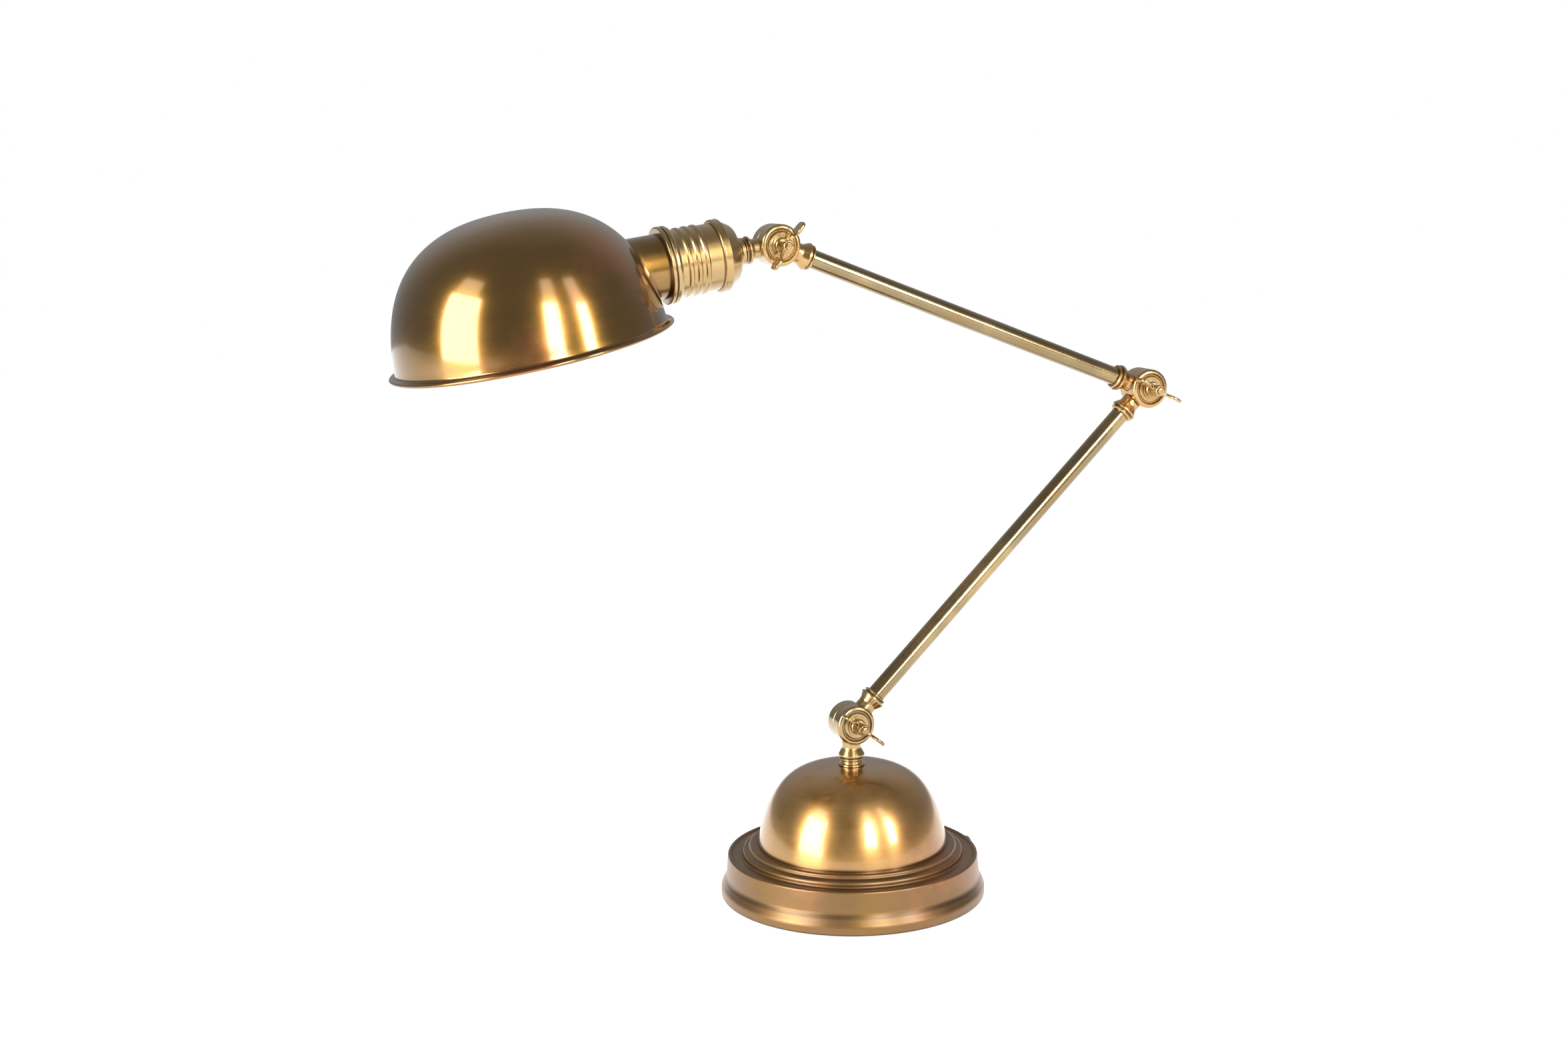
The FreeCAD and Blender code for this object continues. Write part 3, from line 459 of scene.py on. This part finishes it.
def rounded(corners, span=2.2, turn=math.radians(14)):
    """Points of an outline through (radius, height) or (radius, height, rounding) corners,
    in millimetres. Roundings are arcs, and straight runs get a point at least every span."""
    stations = [Vector(corner[:2]) for corner in corners]
    bends = []
    for i, corner in enumerate(corners):
        here = stations[i]
        if len(corner) == 2 or i in (0, len(corners) - 1):
            bends.append([here])
            continue
        back = (stations[i - 1] - here).normalized()
        ahead = (stations[i + 1] - here).normalized()
        half = back.angle(ahead) / 2
        reach = corner[2] / math.tan(half)
        middle = here + (back + ahead).normalized() * corner[2] / math.sin(half)
        start, end = here + back * reach - middle, here + ahead * reach - middle
        whole = math.pi - 2 * half
        count = max(2, math.ceil(whole / turn))
        side = 1 if start.x * end.y - start.y * end.x > 0 else -1
        bends.append([
            middle + Matrix.Rotation(side * whole * k / count, 2) @ start for k in range(count + 1)])
    points = list(bends[0])
    for bend in bends[1:]:
        run = bend[0] - points[-1]
        if run.length > 0.3:
            hem = min(0.12, run.length / 4)
            count = max(1, math.ceil((run.length - 2 * hem) / span))
            unit = run.normalized()
            start = points[-1] + unit * hem
            inner = unit * (run.length - 2 * hem)
            points.extend(start + inner * k / count for k in range(count + 1))
        points.extend(bend)
    return [(point.x * MM, point.y * MM) for point in points]


def dome_outline(radius, base, rise, flank, crown, start, count):
    """A spun dome from a height start up to its axis. All lengths are in metres."""
    first = math.asin(((start - base) / rise) ** (crown / 2))
    points = []
    for k in range(count):
        angle = first + (math.pi / 2 - first) * (1 - (1 - k / count) ** 1.35)
        points.append((radius * math.cos(angle) ** (2 / flank),
                       base + rise * math.sin(angle) ** (2 / crown)))
    return points + [(0.0, base + rise)]


def turned(name, outline, steps=128, place=None, closed=True):
    """A piece made on the lathe: the outline spun about Z, then stood in its place."""
    shape = bmesh.new()
    turns = [2 * math.pi * i / steps for i in range(steps)]
    rows = [
        [shape.verts.new((0, 0, height))] if radius < 1e-6 else
        [shape.verts.new((radius * math.cos(t), radius * math.sin(t), height)) for t in turns]
        for radius, height in outline]
    pairs = list(zip(rows, rows[1:]))
    if closed:
        pairs.append((rows[-1], rows[0]))
    for low, high in pairs:
        for i in range(steps):
            j = i + 1
            loop = [low[i % len(low)], low[j % len(low)], high[j % len(high)], high[i % len(high)]]
            face = list(dict.fromkeys(loop))
            if len(face) > 2:
                shape.faces.new(face)
    bmesh.ops.recalc_face_normals(shape, faces=shape.faces)
    if place is not None:
        shape.transform(place)
    return finished_mesh(name, shape)


def shade_smooth(shape):
    """Shades a mesh smooth but for its sharp corners."""
    for face in shape.faces:
        face.smooth = True
    for edge in shape.edges:
        edge.smooth = edge.calc_face_angle(0) < SHADED_ANGLE


def finished_mesh(name, shape):
    """Links a mesh as a new piece."""
    shade_smooth(shape)
    mesh = bpy.data.meshes.new(name)
    shape.to_mesh(mesh)
    shape.free()
    piece = bpy.data.objects.new(name, mesh)
    bpy.context.scene.collection.objects.link(piece)
    return piece


def with_modifiers(piece):
    """Makes the shape that a piece's modifiers give its own mesh."""
    bpy.context.view_layer.update()
    shape = bmesh.new()
    shape.from_object(piece, bpy.context.evaluated_depsgraph_get())
    piece.modifiers.clear()
    shade_smooth(shape)
    shape.to_mesh(piece.data)
    shape.free()
    return piece


def along(start, angle):
    """Stands a piece's Z axis at a start, pointing at an angle above +X."""
    return Matrix.Translation(start) @ Matrix.Rotation(math.pi / 2 - angle, 4, "Y")


def heading(angle):
    return Vector((math.cos(angle), 0, math.sin(angle)))


def axis_of(place):
    """A point on the axis of a turned piece, and its direction."""
    return place.translation, (place.to_3x3() @ UP).normalized()


def stand_in(piece, body, slot, material, *nodes):
    """Gives a new piece its finish, its body and the CAD nodes that it stands for."""
    piece.data.materials.clear()
    piece.data.materials.append(material)
    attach(piece, body)
    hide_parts(*nodes)
    return piece


def dress(node, material):
    """Gives a CAD node its finish."""
    for slot in frame["nodes"][node].material_slots:
        slot.material = material


# ---------------------------------------------------------------- operators

class LampPart:
    """What the operators share."""

    bl_options = {"REGISTER", "UNDO"}


class LAMP_OT_foot(LampPart, bpy.types.Operator):
    """Spins the stepped foot and its low dome"""

    bl_idname = "lamp.foot"
    bl_label = "Foot"

    def execute(self, context):
        scene = context.scene
        foot = scene.lamp_foot
        brass = scene.lamp_brass
        wall = foot.wall_radius / MM
        edge = wall + foot.flare / MM
        ledge = foot.ledge_height / MM
        dome = foot.dome_radius / MM
        ledge_width, tread = 9.8, 4.4
        low_rise, high_rise = 4.5, 3.0
        step_1 = wall - ledge_width
        step_2 = step_1 - tread
        low = ledge + low_rise
        high = low + high_rise
        skirt = turned("foot_skirt", rounded([
            (edge - 2.4, 2.0),
            (edge - 2.4, 1.0, 0.3),
            (edge, 1.0, 1.25),
            (edge, 6.8, 5.0),
            (wall + 1.2, 13.6, 8.0),
            (wall, ledge + 1.3, 1.5),
            (wall - 2.2, ledge + 1.3, 0.7),
            (wall - 3.2, ledge, 1.2),
            (step_1, ledge, 1.3),
            (step_1, low, 2.4),
            (step_2, low, 1.2),
            (step_2, high, 1.7),
            (dome - 0.6, high, 0.3),
            (dome - 1.8, high + 0.6),
            (dome - 2.6, high + 0.6),
            (dome - 2.6, high - 1.0),
            (step_2 - 1.0, high - 1.0),
            (step_2 - 1.0, low - 1.0),
            (step_1 - 1.0, low - 1.0),
            (step_1 - 1.0, ledge - 1.0),
            (wall - 2.6, ledge - 1.0),
            (wall - 0.2, 13.2, 7.0),
            (edge - 1.2, 7.6, 3.0),
            (edge - 1.2, 2.0),
        ]), 320)
        cut_inlet(skirt)
        top = (high + foot.dome_rise / MM) * MM
        base = (high - 5.4) * MM
        outer = dome_outline(foot.dome_radius, base, top - base, 3.7, 1.75, high * MM, 90)
        inner = dome_outline(
            foot.dome_radius - MM, base, top - base - MM, 3.7, 1.75, high * MM, 40)
        bore = 5.2 * MM
        outer = [point for point in outer if point[0] > bore] + [(bore, top)]
        inner = [point for point in inner if point[0] > bore] + [(bore, top - MM)]
        shell = turned("foot_dome", outer + inner[::-1], 256)
        material = antique_brass(
            "spun_brass_foot", brass, (brass.gold, brass.copper, brass.olive), STANDING,
            warm=0.35, dark=0.3, reach=4.5 * MM, roughness=0.06, anisotropy=0.4, lacquer=0.12)
        # Painted shade: dark rings above the flare and along the skirt's bottom edge
        aged = antique_brass(
            "spun_brass_skirt", brass, (brass.aged, brass.copper, brass.olive), STANDING,
            warm=0.3, dark=0.5, reach=5.5 * MM, roughness=0.16, lines=0.35, lacquer=0.3, coat=0.6,
            rub=0.8, painted_shade_bands=((10.6 * MM, 14.4 * MM), (-1 * MM, 2.4 * MM)))
        stand_in(skirt, "base", "spun_brass", aged, "base_skirt")
        stand_in(shell, "base", "spun_brass", material, "base_dome")
        return {"FINISHED"}


def cut_inlet(skirt):
    """Opens the skirt behind the bush of the cable inlet."""
    low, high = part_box("cord_grommet")
    middle = (low + high) / 2
    shape = bmesh.new()
    shape.from_mesh(skirt.data)
    behind = [
        face for face in shape.faces
        if face.calc_center_median().x > 0
        and (face.calc_center_median() - middle).yz.length < 5.3 * MM]
    bmesh.ops.delete(shape, geom=behind, context="FACES")
    shape.to_mesh(skirt.data)
    shape.free()


class LAMP_OT_neck(LampPart, bpy.types.Operator):
    """Turns the ring between the foot's dome and the first knuckle"""

    bl_idname = "lamp.neck"
    bl_label = "Neck Ring"

    def execute(self, context):
        low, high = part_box("neck_ring")
        bottom, top = low.z / MM, high.z / MM
        wide = high.x / MM
        groove = wide - 1.25
        ring = turned("neck_collar", rounded([
            (5.1, bottom),
            (wide, bottom, 0.25),
            (wide, bottom + 1.3, 0.5),
            (groove, bottom + 1.75, 0.35),
            (groove, top - 0.45, 0.3),
            (groove - 0.5, top),
            (5.1, top),
        ], 0.8), 128)
        brass = context.scene.lamp_brass
        material = antique_brass(
            "turned_brass_neck", brass, (brass.pale, brass.gold, brass.olive), STANDING,
            reach=2 * MM, rub=0.7, wobble=0.01 * MM, lines=0.1, grain=0.0005 * MM, soften=False)
        stand_in(ring, "base", "turned_brass", material, "neck_ring")
        return {"FINISHED"}


class LAMP_OT_tubes(LampPart, bpy.types.Operator):
    """Draws the two arm tubes"""

    bl_idname = "lamp.tubes"
    bl_label = "Arm Tubes"

    def execute(self, context):
        brass = context.scene.lamp_brass
        outside, inside, neck = 6.0, 5.0, 17.7
        for name, body, first, last in (
                ("lower_arm_tube", "lower_arm", BASE_HINGE, ELBOW_HINGE),
                ("upper_arm_tube", "upper_arm", ELBOW_HINGE, HEAD_HINGE)):
            run = last - first
            length = run.length / MM
            place = along(first, math.atan2(run.z, run.x))
            tube = turned(name[:-5] + "_pipe", rounded([
                (outside, neck, 0.2),
                (outside, length - neck, 0.2),
                (inside, length - neck),
                (inside, neck),
                (outside, neck),
            ], 6.0), 72, place)
            material = antique_brass(
                "tube_brass_" + body, brass, (brass.drawn, brass.pale, brass.olive),
                axis_of(place), warm=0.3, dark=0.35, reach=2 * MM, roughness=-0.06, rub=0.3,
                lines=0.1, wobble=0.0, grain=0.0, soften=False)
            stand_in(tube, body, "tube_brass", material, name)
        return {"FINISHED"}


class LAMP_OT_knuckles(LampPart, bpy.types.Operator):
    """Finishes the six castings of the knuckle joints, their pins and washers"""

    bl_idname = "lamp.knuckles"
    bl_label = "Knuckles"

    def execute(self, context):
        brass = context.scene.lamp_brass
        for node, hinge in KNUCKLES.items():
            dress(node, antique_brass(
                "cast_brass_" + node, brass, (brass.pale, brass.gold, brass.drawn),
                (hinge, (0, 1, 0)), warm=0.5, dark=0.3, reach=2.6 * MM, edge=0.3 * MM, rub=0.6,
                lines=0.1, wobble=0.0, grain=0.0, soften=False))
        for name, hinge in (("base", BASE_HINGE), ("elbow", ELBOW_HINGE), ("head", HEAD_HINGE)):
            material = antique_brass(
                "screw_brass_" + name, brass, (brass.pale, brass.gold, brass.olive),
                (hinge, (0, 1, 0)), reach=1.6 * MM, edge=0.25 * MM, rub=0.7, lines=0.15,
                wobble=0.0, grain=0.0, soften=False)
            dress(name + "_pin", material)
            dress(name + "_pin_washers", material)
        return {"FINISHED"}


class LAMP_OT_wing_nuts(LampPart, bpy.types.Operator):
    """Casts the wing nuts with soft ears"""

    bl_idname = "lamp.wing_nuts"
    bl_label = "Wing Nuts"

    def execute(self, context):
        brass = context.scene.lamp_brass
        for name in ("base", "elbow", "head"):
            node = name + "_wing_nut"
            mesh = frame["nodes"][node].data.copy()
            nut = bpy.data.objects.new(name + "_thumb_nut", mesh)
            bpy.context.scene.collection.objects.link(nut)
            grain = nut.modifiers.new("Even faces", "REMESH")
            grain.mode = "VOXEL"
            grain.voxel_size = 0.3 * MM
            worn = nut.modifiers.new("Worn", "SMOOTH")
            worn.factor = 0.5
            worn.iterations = 5
            with_modifiers(nut)
            material = antique_brass(
                "nut_brass_" + name, brass, (brass.pale, brass.gold, brass.olive), warm=0.3,
                dark=0.4, reach=2 * MM, edge=0.6 * MM, rub=0.6, lines=0.1, wobble=0.02 * MM,
                grain=0.001 * MM)
            stand_in(nut, name + "_nut", "screw_brass", material, node)
        return {"FINISHED"}


def holder_place(holder):
    """The lampholder's axis, from the seat of the bell cap towards the shade."""
    angle = math.pi + holder.pitch
    return along(HEAD_HINGE + heading(angle) * holder.seat, angle)


class LAMP_OT_holder(LampPart, bpy.types.Operator):
    """Turns the bell cap, the beaded sleeve and the double ring, and finishes the shade's neck"""

    bl_idname = "lamp.holder"
    bl_label = "Lampholder"

    def execute(self, context):
        holder = context.scene.lamp_holder
        brass = context.scene.lamp_brass
        place = holder_place(holder)
        sleeve = holder.sleeve_radius / MM
        bell = sleeve + 0.8
        rim = sleeve + 2.0
        cap = turned("bell_cap", rounded([
            (5.1, 0.0),
            (8.4, 0.0, 0.4),
            (8.4, 2.9, 1.9),
            (bell - 4.2, 6.8, 4.5),
            (bell, 13.9, 0.3),
            (rim, 14.3, 0.4),
            (rim, 19.3, 1.2),
            (sleeve + 0.05, 19.3),
            (sleeve + 0.05, 15.5),
            (sleeve - 2.0, 15.5),
            (bell - 5.9, 8.2, 3.0),
            (9.4, 5.1),
            (5.1, 5.1),
        ], 1.5), 160, place)
        start, end = 15.6, 49.7
        bead_pitch = 5.5
        last_bead = end - 8.8
        outline = [(sleeve - 1.0, start), (sleeve, start, 0.2)]
        for i in reversed(range(holder.beads)):
            middle = last_bead - bead_pitch * i
            outline += [
                (sleeve, middle - 1.75, 0.35),
                (sleeve + 0.95, middle - 0.75, 0.75),
                (sleeve + 0.95, middle + 0.75, 0.75),
                (sleeve, middle + 1.75, 0.35)]
        outline += [(sleeve, end, 0.2), (sleeve - 1.0, end)]
        tube = turned("beaded_sleeve", rounded(outline, 1.0), 160, place)
        outer = sleeve + 3.5
        finish_end = end + 4.2
        groove = finish_end - 2.9
        neck = sleeve - 0.6
        gallery = turned("double_ring", rounded([
            (sleeve + 0.05, end - 2.9),
            (outer - 1.3, end - 2.9, 0.6),
            (outer, end - 1.0, 1.1),
            (outer - 0.3, groove - 0.5, 0.5),
            (outer - 1.8, groove, 0.3),
            (outer, groove + 0.6, 0.6),
            (outer, finish_end, 0.9),
            (neck + 0.05, finish_end),
            (neck + 0.05, end + 0.1),
            (sleeve + 0.05, end + 0.1),
        ], 0.8), 192, place)
        tones = (brass.pale, brass.gold, brass.olive)
        cap_brass = antique_brass(
            "turned_brass_cap", brass, tones, axis_of(place), warm=0.5, reach=3 * MM,
            wobble=0.02 * MM, lines=0.15, grain=0.0005 * MM, soften=False)
        sleeve_brass = antique_brass(
            "turned_brass_sleeve", brass, tones, axis_of(place), reach=2.0 * MM, rub=0.8,
            wobble=0.01 * MM, lines=0.1, grain=0.0005 * MM, soften=False)
        neck_brass = antique_brass(
            "spun_brass_neck", brass, (brass.olive, brass.gold, brass.antiquing_and_painted_shade), axis_of(place),
            warm=0.3, reach=3 * MM, wobble=0.01 * MM, lines=0.1, grain=0.0005 * MM,
            soften=False)
        stand_in(cap, "head", "turned_brass", cap_brass, "socket_cap")
        stand_in(tube, "head", "turned_brass", sleeve_brass, "socket_sleeve")
        stand_in(gallery, "head", "turned_brass", sleeve_brass, "gallery_ring")
        dress("shade_neck", neck_brass)
        return {"FINISHED"}


class LAMP_OT_shade(LampPart, bpy.types.Operator):
    """Spins the deep shade with its rolled rim and cuts it for the neck"""

    bl_idname = "lamp.shade"
    bl_label = "Shade"

    def execute(self, context):
        shade = context.scene.lamp_shade
        brass = context.scene.lamp_brass
        holder = context.scene.lamp_holder
        angle = math.pi + holder.pitch
        seat = HEAD_HINGE + heading(angle) * holder.seat
        ring_end = 53.9 * MM
        exposed_neck = 6 * MM
        reach = ring_end + exposed_neck + shade.radius
        axis = heading(math.pi / 2 + shade.tilt)
        rim_centre = seat + heading(angle) * reach - axis * shade.entry
        place = along(rim_centre, math.pi / 2 + shade.tilt)
        base = -30 * MM
        rise = shade.height - base
        outer = dome_outline(shade.radius, base, rise, 2.4, 3.18, 6.2 * MM, 110)
        inner = dome_outline(shade.radius - MM, base, rise - MM, 2.4, 3.18, 2.2 * MM, 110)
        rim = shade.radius / MM + 3.4
        roll = rim - 1.25
        side = outer[0][0] / MM
        flare = rounded([
            (side, 6.2),
            (side + 0.35, 3.1, 1.6),
            (roll - 0.4, 2.5, 0.4),
            (roll + 0.2, 2.5),
        ], 0.6)
        curl = [
            ((roll + 1.25 * math.cos(t)) * MM, (1.25 + 1.25 * math.sin(t)) * MM)
            for t in (math.radians(80 - 12 * k) for k in range(22))]
        profile = outer[::-1] + flare[1:-1] + curl + inner
        shell = turned("dome_shade", profile, 320, place, closed=False)
        drill = turned(
            "neck_drill", rounded([
                (0, ring_end / MM + 1), (20.04, ring_end / MM + 1), (20.04, reach / MM),
                (0, reach / MM)], 12.0),
            160, holder_place(holder))
        hole = shell.modifiers.new("Neck hole", "BOOLEAN")
        hole.object = drill
        hole.solver = "EXACT"
        with_modifiers(shell)
        bpy.data.objects.remove(drill)
        material = antique_brass(
            "spun_brass_shade", brass, (brass.olive, brass.copper, brass.olive), axis_of(place),
            warm=0.35, reach=5 * MM, roughness=-0.03, anisotropy=0.3, lines=0.15,
            wobble=0.08 * MM)
        stand_in(shell, "head", "spun_brass", material, "shade")
        return {"FINISHED"}


class LAMP_OT_fittings(LampPart, bpy.types.Operator):
    """Finishes the weight, the plate, the pad, the stems, the bulb and its holder"""

    bl_idname = "lamp.fittings"
    bl_label = "Fittings"

    def execute(self, context):
        brass = context.scene.lamp_brass
        steel = plain_metal(
            "plain_steel", (0.5, 0.5, 0.5), (0.22, 0.21, 0.2), 0.32, 0.5 * MM)
        contact = plain_metal(
            "contact_brass", (0.72, 0.52, 0.26), (0.4, 0.26, 0.11), 0.25, 0.4 * MM)
        tones = (brass.pale, brass.gold, brass.olive)
        stem = antique_brass("tube_brass_stems", brass, tones, reach=1.5 * MM)
        bush = antique_brass("turned_brass_bush", brass, tones, reach=2.5 * MM)
        for node in ("base_plate", "plate_screws", "stem_washer", "stem_nut"):
            dress(node, steel)
        for node in ("thread_shell", "centre_contact", "bulb_cap"):
            dress(node, contact)
        for node in ("threaded_stem", "head_nipple"):
            dress(node, stem)
        for node in ("cord_grommet", "cap_nut"):
            dress(node, bush)
        dress("base_weight", cast_iron())
        dress("felt_pad", felt())
        dress("lampholder_body", porcelain())
        dress("bulb_glass", frosted_glass())
        return {"FINISHED"}


class LAMP_OT_studio(LampPart, bpy.types.Operator):
    """Lays the pale floor and sets the lights, the world and the camera"""

    bl_idname = "lamp.studio"
    bl_label = "Studio"

    def execute(self, context):
        studio = context.scene.lamp_studio
        floor_of_studio(studio)
        world_of_studio(context.scene, studio)
        for name, azimuth, width, low, high, bright in (
                ("softbox", -75, 31, -3, 33, studio.softbox),
                ("softbox_cloth", -76, 24, 34, 46, studio.glow),
                ("strip_front", 1, 13, 7, 33, studio.strip),
                ("strip_front_cloth", 1.5, 13, 33, 52, studio.glow),
                ("strip_right", 30, 10, 6, 31, studio.strip),
                ("strip_right_cloth", 28, 13, 31, 50, studio.glow)):
            soft_lamp(name, studio.distance, azimuth, width, low, high, bright)
        photo_camera(context.scene, studio)
        context.scene.view_settings.view_transform = "Standard"
        return {"FINISHED"}


def seen_directly(finish):
    """1 for rays from the camera, and for those that metal and glass send on."""
    path = "ShaderNodeLightPath"
    return (finish.node(path, out="Is Camera Ray")
            .maths("MAXIMUM", finish.node(path, out="Is Glossy Ray"))
            .maths("MAXIMUM", finish.node(path, out="Is Transmission Ray")))


def floor_of_studio(studio):
    shape = bmesh.new()
    bmesh.ops.create_grid(shape, x_segments=24, y_segments=24, size=4.0)
    floor = finished_mesh("studio_floor", shape)
    finish = Finish("studio_floor")
    seen = seen_directly(finish)
    grain = finish.cloud(0.3, detail=2.0)
    pale = finish.blend(grain * 0.05, studio.floor_colour, (0.8, 0.8, 0.8))
    matt = finish.node("ShaderNodeBsdfDiffuse", {}, {"Color": pale})
    glow = finish.node("ShaderNodeEmission", {}, {"Color": (1, 1, 1, 1), "Strength": 0.74})
    both = finish.node("ShaderNodeAddShader", {}, {0: matt, 1: glow})
    floor.data.materials.append(finish.shown(
        finish.node("ShaderNodeMixShader", {}, {0: seen, 1: matt, 2: both})))


def world_of_studio(scene, studio):
    """White where it is seen, and a plain soft light on everything else. What shows in the
    brass is a pale backdrop behind the lamp, and a darker room in front and overhead."""
    finish = Finish("studio_world", bpy.data.worlds)
    towards = finish.place
    level = (towards * (1.0, 1.0, 0.0)).maths("NORMALIZE")
    behind = (math.sin(BACKDROP_AZIMUTH), -math.cos(BACKDROP_AZIMUTH), 0.0)
    backdrop = level.dot(behind).step(0.2, 0.95)
    height = towards.dot((0.0, 0.0, 1.0))
    pale = backdrop * height.step(0.05, 0.6) * (1 - height.step(0.75, 1.0) * 0.6)
    room = studio.room + pale * (studio.backdrop - studio.room)
    camera = finish.node("ShaderNodeLightPath", out="Is Camera Ray")
    reflected = finish.node("ShaderNodeBackground", {}, {
        "Color": (1, 1, 1, 1), "Strength": camera.maths("MAXIMUM", room)})
    soft = finish.node(
        "ShaderNodeBackground", {}, {"Color": (1, 1, 1, 1), "Strength": studio.ambient})
    both = finish.node("ShaderNodeMixShader", {}, {0: seen_directly(finish), 1: soft, 2: reflected})
    finish.node("ShaderNodeOutputWorld", {}, {"Surface": both})
    scene.world = finish.material


def soft_lamp(name, distance, azimuth, width, low, high, brightness):
    """A soft lamp at an azimuth, 0 being the front, that spans a width and two heights, all
    in degrees as the middle of the desk lamp sees it."""
    bottom, top = (distance * math.tan(math.radians(angle)) for angle in (low, high))
    light = bpy.data.lights.new(name, "AREA")
    light.shape = "RECTANGLE"
    light.size = 2 * distance * math.tan(math.radians(width / 2))
    light.size_y = top - bottom
    light.energy = brightness * math.pi * light.size * light.size_y
    lamp = bpy.data.objects.new(name, light)
    turn = math.radians(azimuth)
    towards = Vector((math.sin(turn), -math.cos(turn), 0))
    middle = towards * distance + UP * (EYE_HEIGHT + (bottom + top) / 2)
    facing = towards.to_track_quat("Z", "Y").to_matrix().to_4x4()
    lamp.matrix_world = Matrix.Translation(middle) @ facing
    lamp.visible_camera = False
    bpy.context.scene.collection.objects.link(lamp)


def photo_camera(scene, studio):
    """The camera, 21 degrees round to the shade's side and 10 degrees above level."""
    azimuth, lift, roll = (math.radians(a) for a in (-21.105, 9.832, -0.778))
    back = Vector((
        math.sin(azimuth) * math.cos(lift), -math.cos(azimuth) * math.cos(lift), math.sin(lift)))
    right = Vector((math.cos(azimuth), math.sin(azimuth), 0))
    up = back.cross(right)
    right, up = (right * math.cos(roll) + up * math.sin(roll),
                 up * math.cos(roll) - right * math.sin(roll))
    data = bpy.data.cameras.new("photo_camera")
    data.lens = studio.lens
    data.sensor_width = 36
    camera = bpy.data.objects.new("photo_camera", data)
    turn = Matrix((right, up, back)).transposed()
    camera.matrix_world = Matrix.Translation((-0.527567, -1.249449, 0.484004)) @ turn.to_4x4()
    scene.collection.objects.link(camera)
    scene.camera = camera


# ---------------------------------------------------------------- panel and registration

OPERATORS = (
    LAMP_OT_studio,
    LAMP_OT_foot,
    LAMP_OT_neck,
    LAMP_OT_tubes,
    LAMP_OT_knuckles,
    LAMP_OT_wing_nuts,
    LAMP_OT_holder,
    LAMP_OT_shade,
    LAMP_OT_fittings,
)
GROUPS = {
    "lamp_brass": LampBrass,
    "lamp_foot": LampFoot,
    "lamp_holder": LampHolder,
    "lamp_shade": LampShade,
    "lamp_studio": LampStudio,
}


class LAMP_PT_panel(bpy.types.Panel):
    """Lists the lamp's pieces and their sizes"""

    bl_idname = "LAMP_PT_panel"
    bl_label = "Dome Shade Desk Lamp"
    bl_space_type = "VIEW_3D"
    bl_region_type = "UI"
    bl_category = "Desk Lamp"

    def draw(self, context):
        for operator in OPERATORS:
            self.layout.operator(operator.bl_idname)
        for name, group in GROUPS.items():
            box = self.layout.box()
            for field in group.__annotations__:
                box.prop(getattr(context.scene, name), field)


def register():
    for kind in (*GROUPS.values(), *OPERATORS, LAMP_PT_panel):
        bpy.utils.register_class(kind)
    for name, group in GROUPS.items():
        setattr(bpy.types.Scene, name, PointerProperty(type=group))


def unregister():
    for name in GROUPS:
        delattr(bpy.types.Scene, name)
    for kind in (LAMP_PT_panel, *reversed(OPERATORS), *reversed(GROUPS.values())):
        bpy.utils.unregister_class(kind)


def main():
    register()
    for operator in OPERATORS:
        group, name = operator.bl_idname.split(".")
        getattr(getattr(bpy.ops, group), name)()


if __name__ == "__main__":
    main()
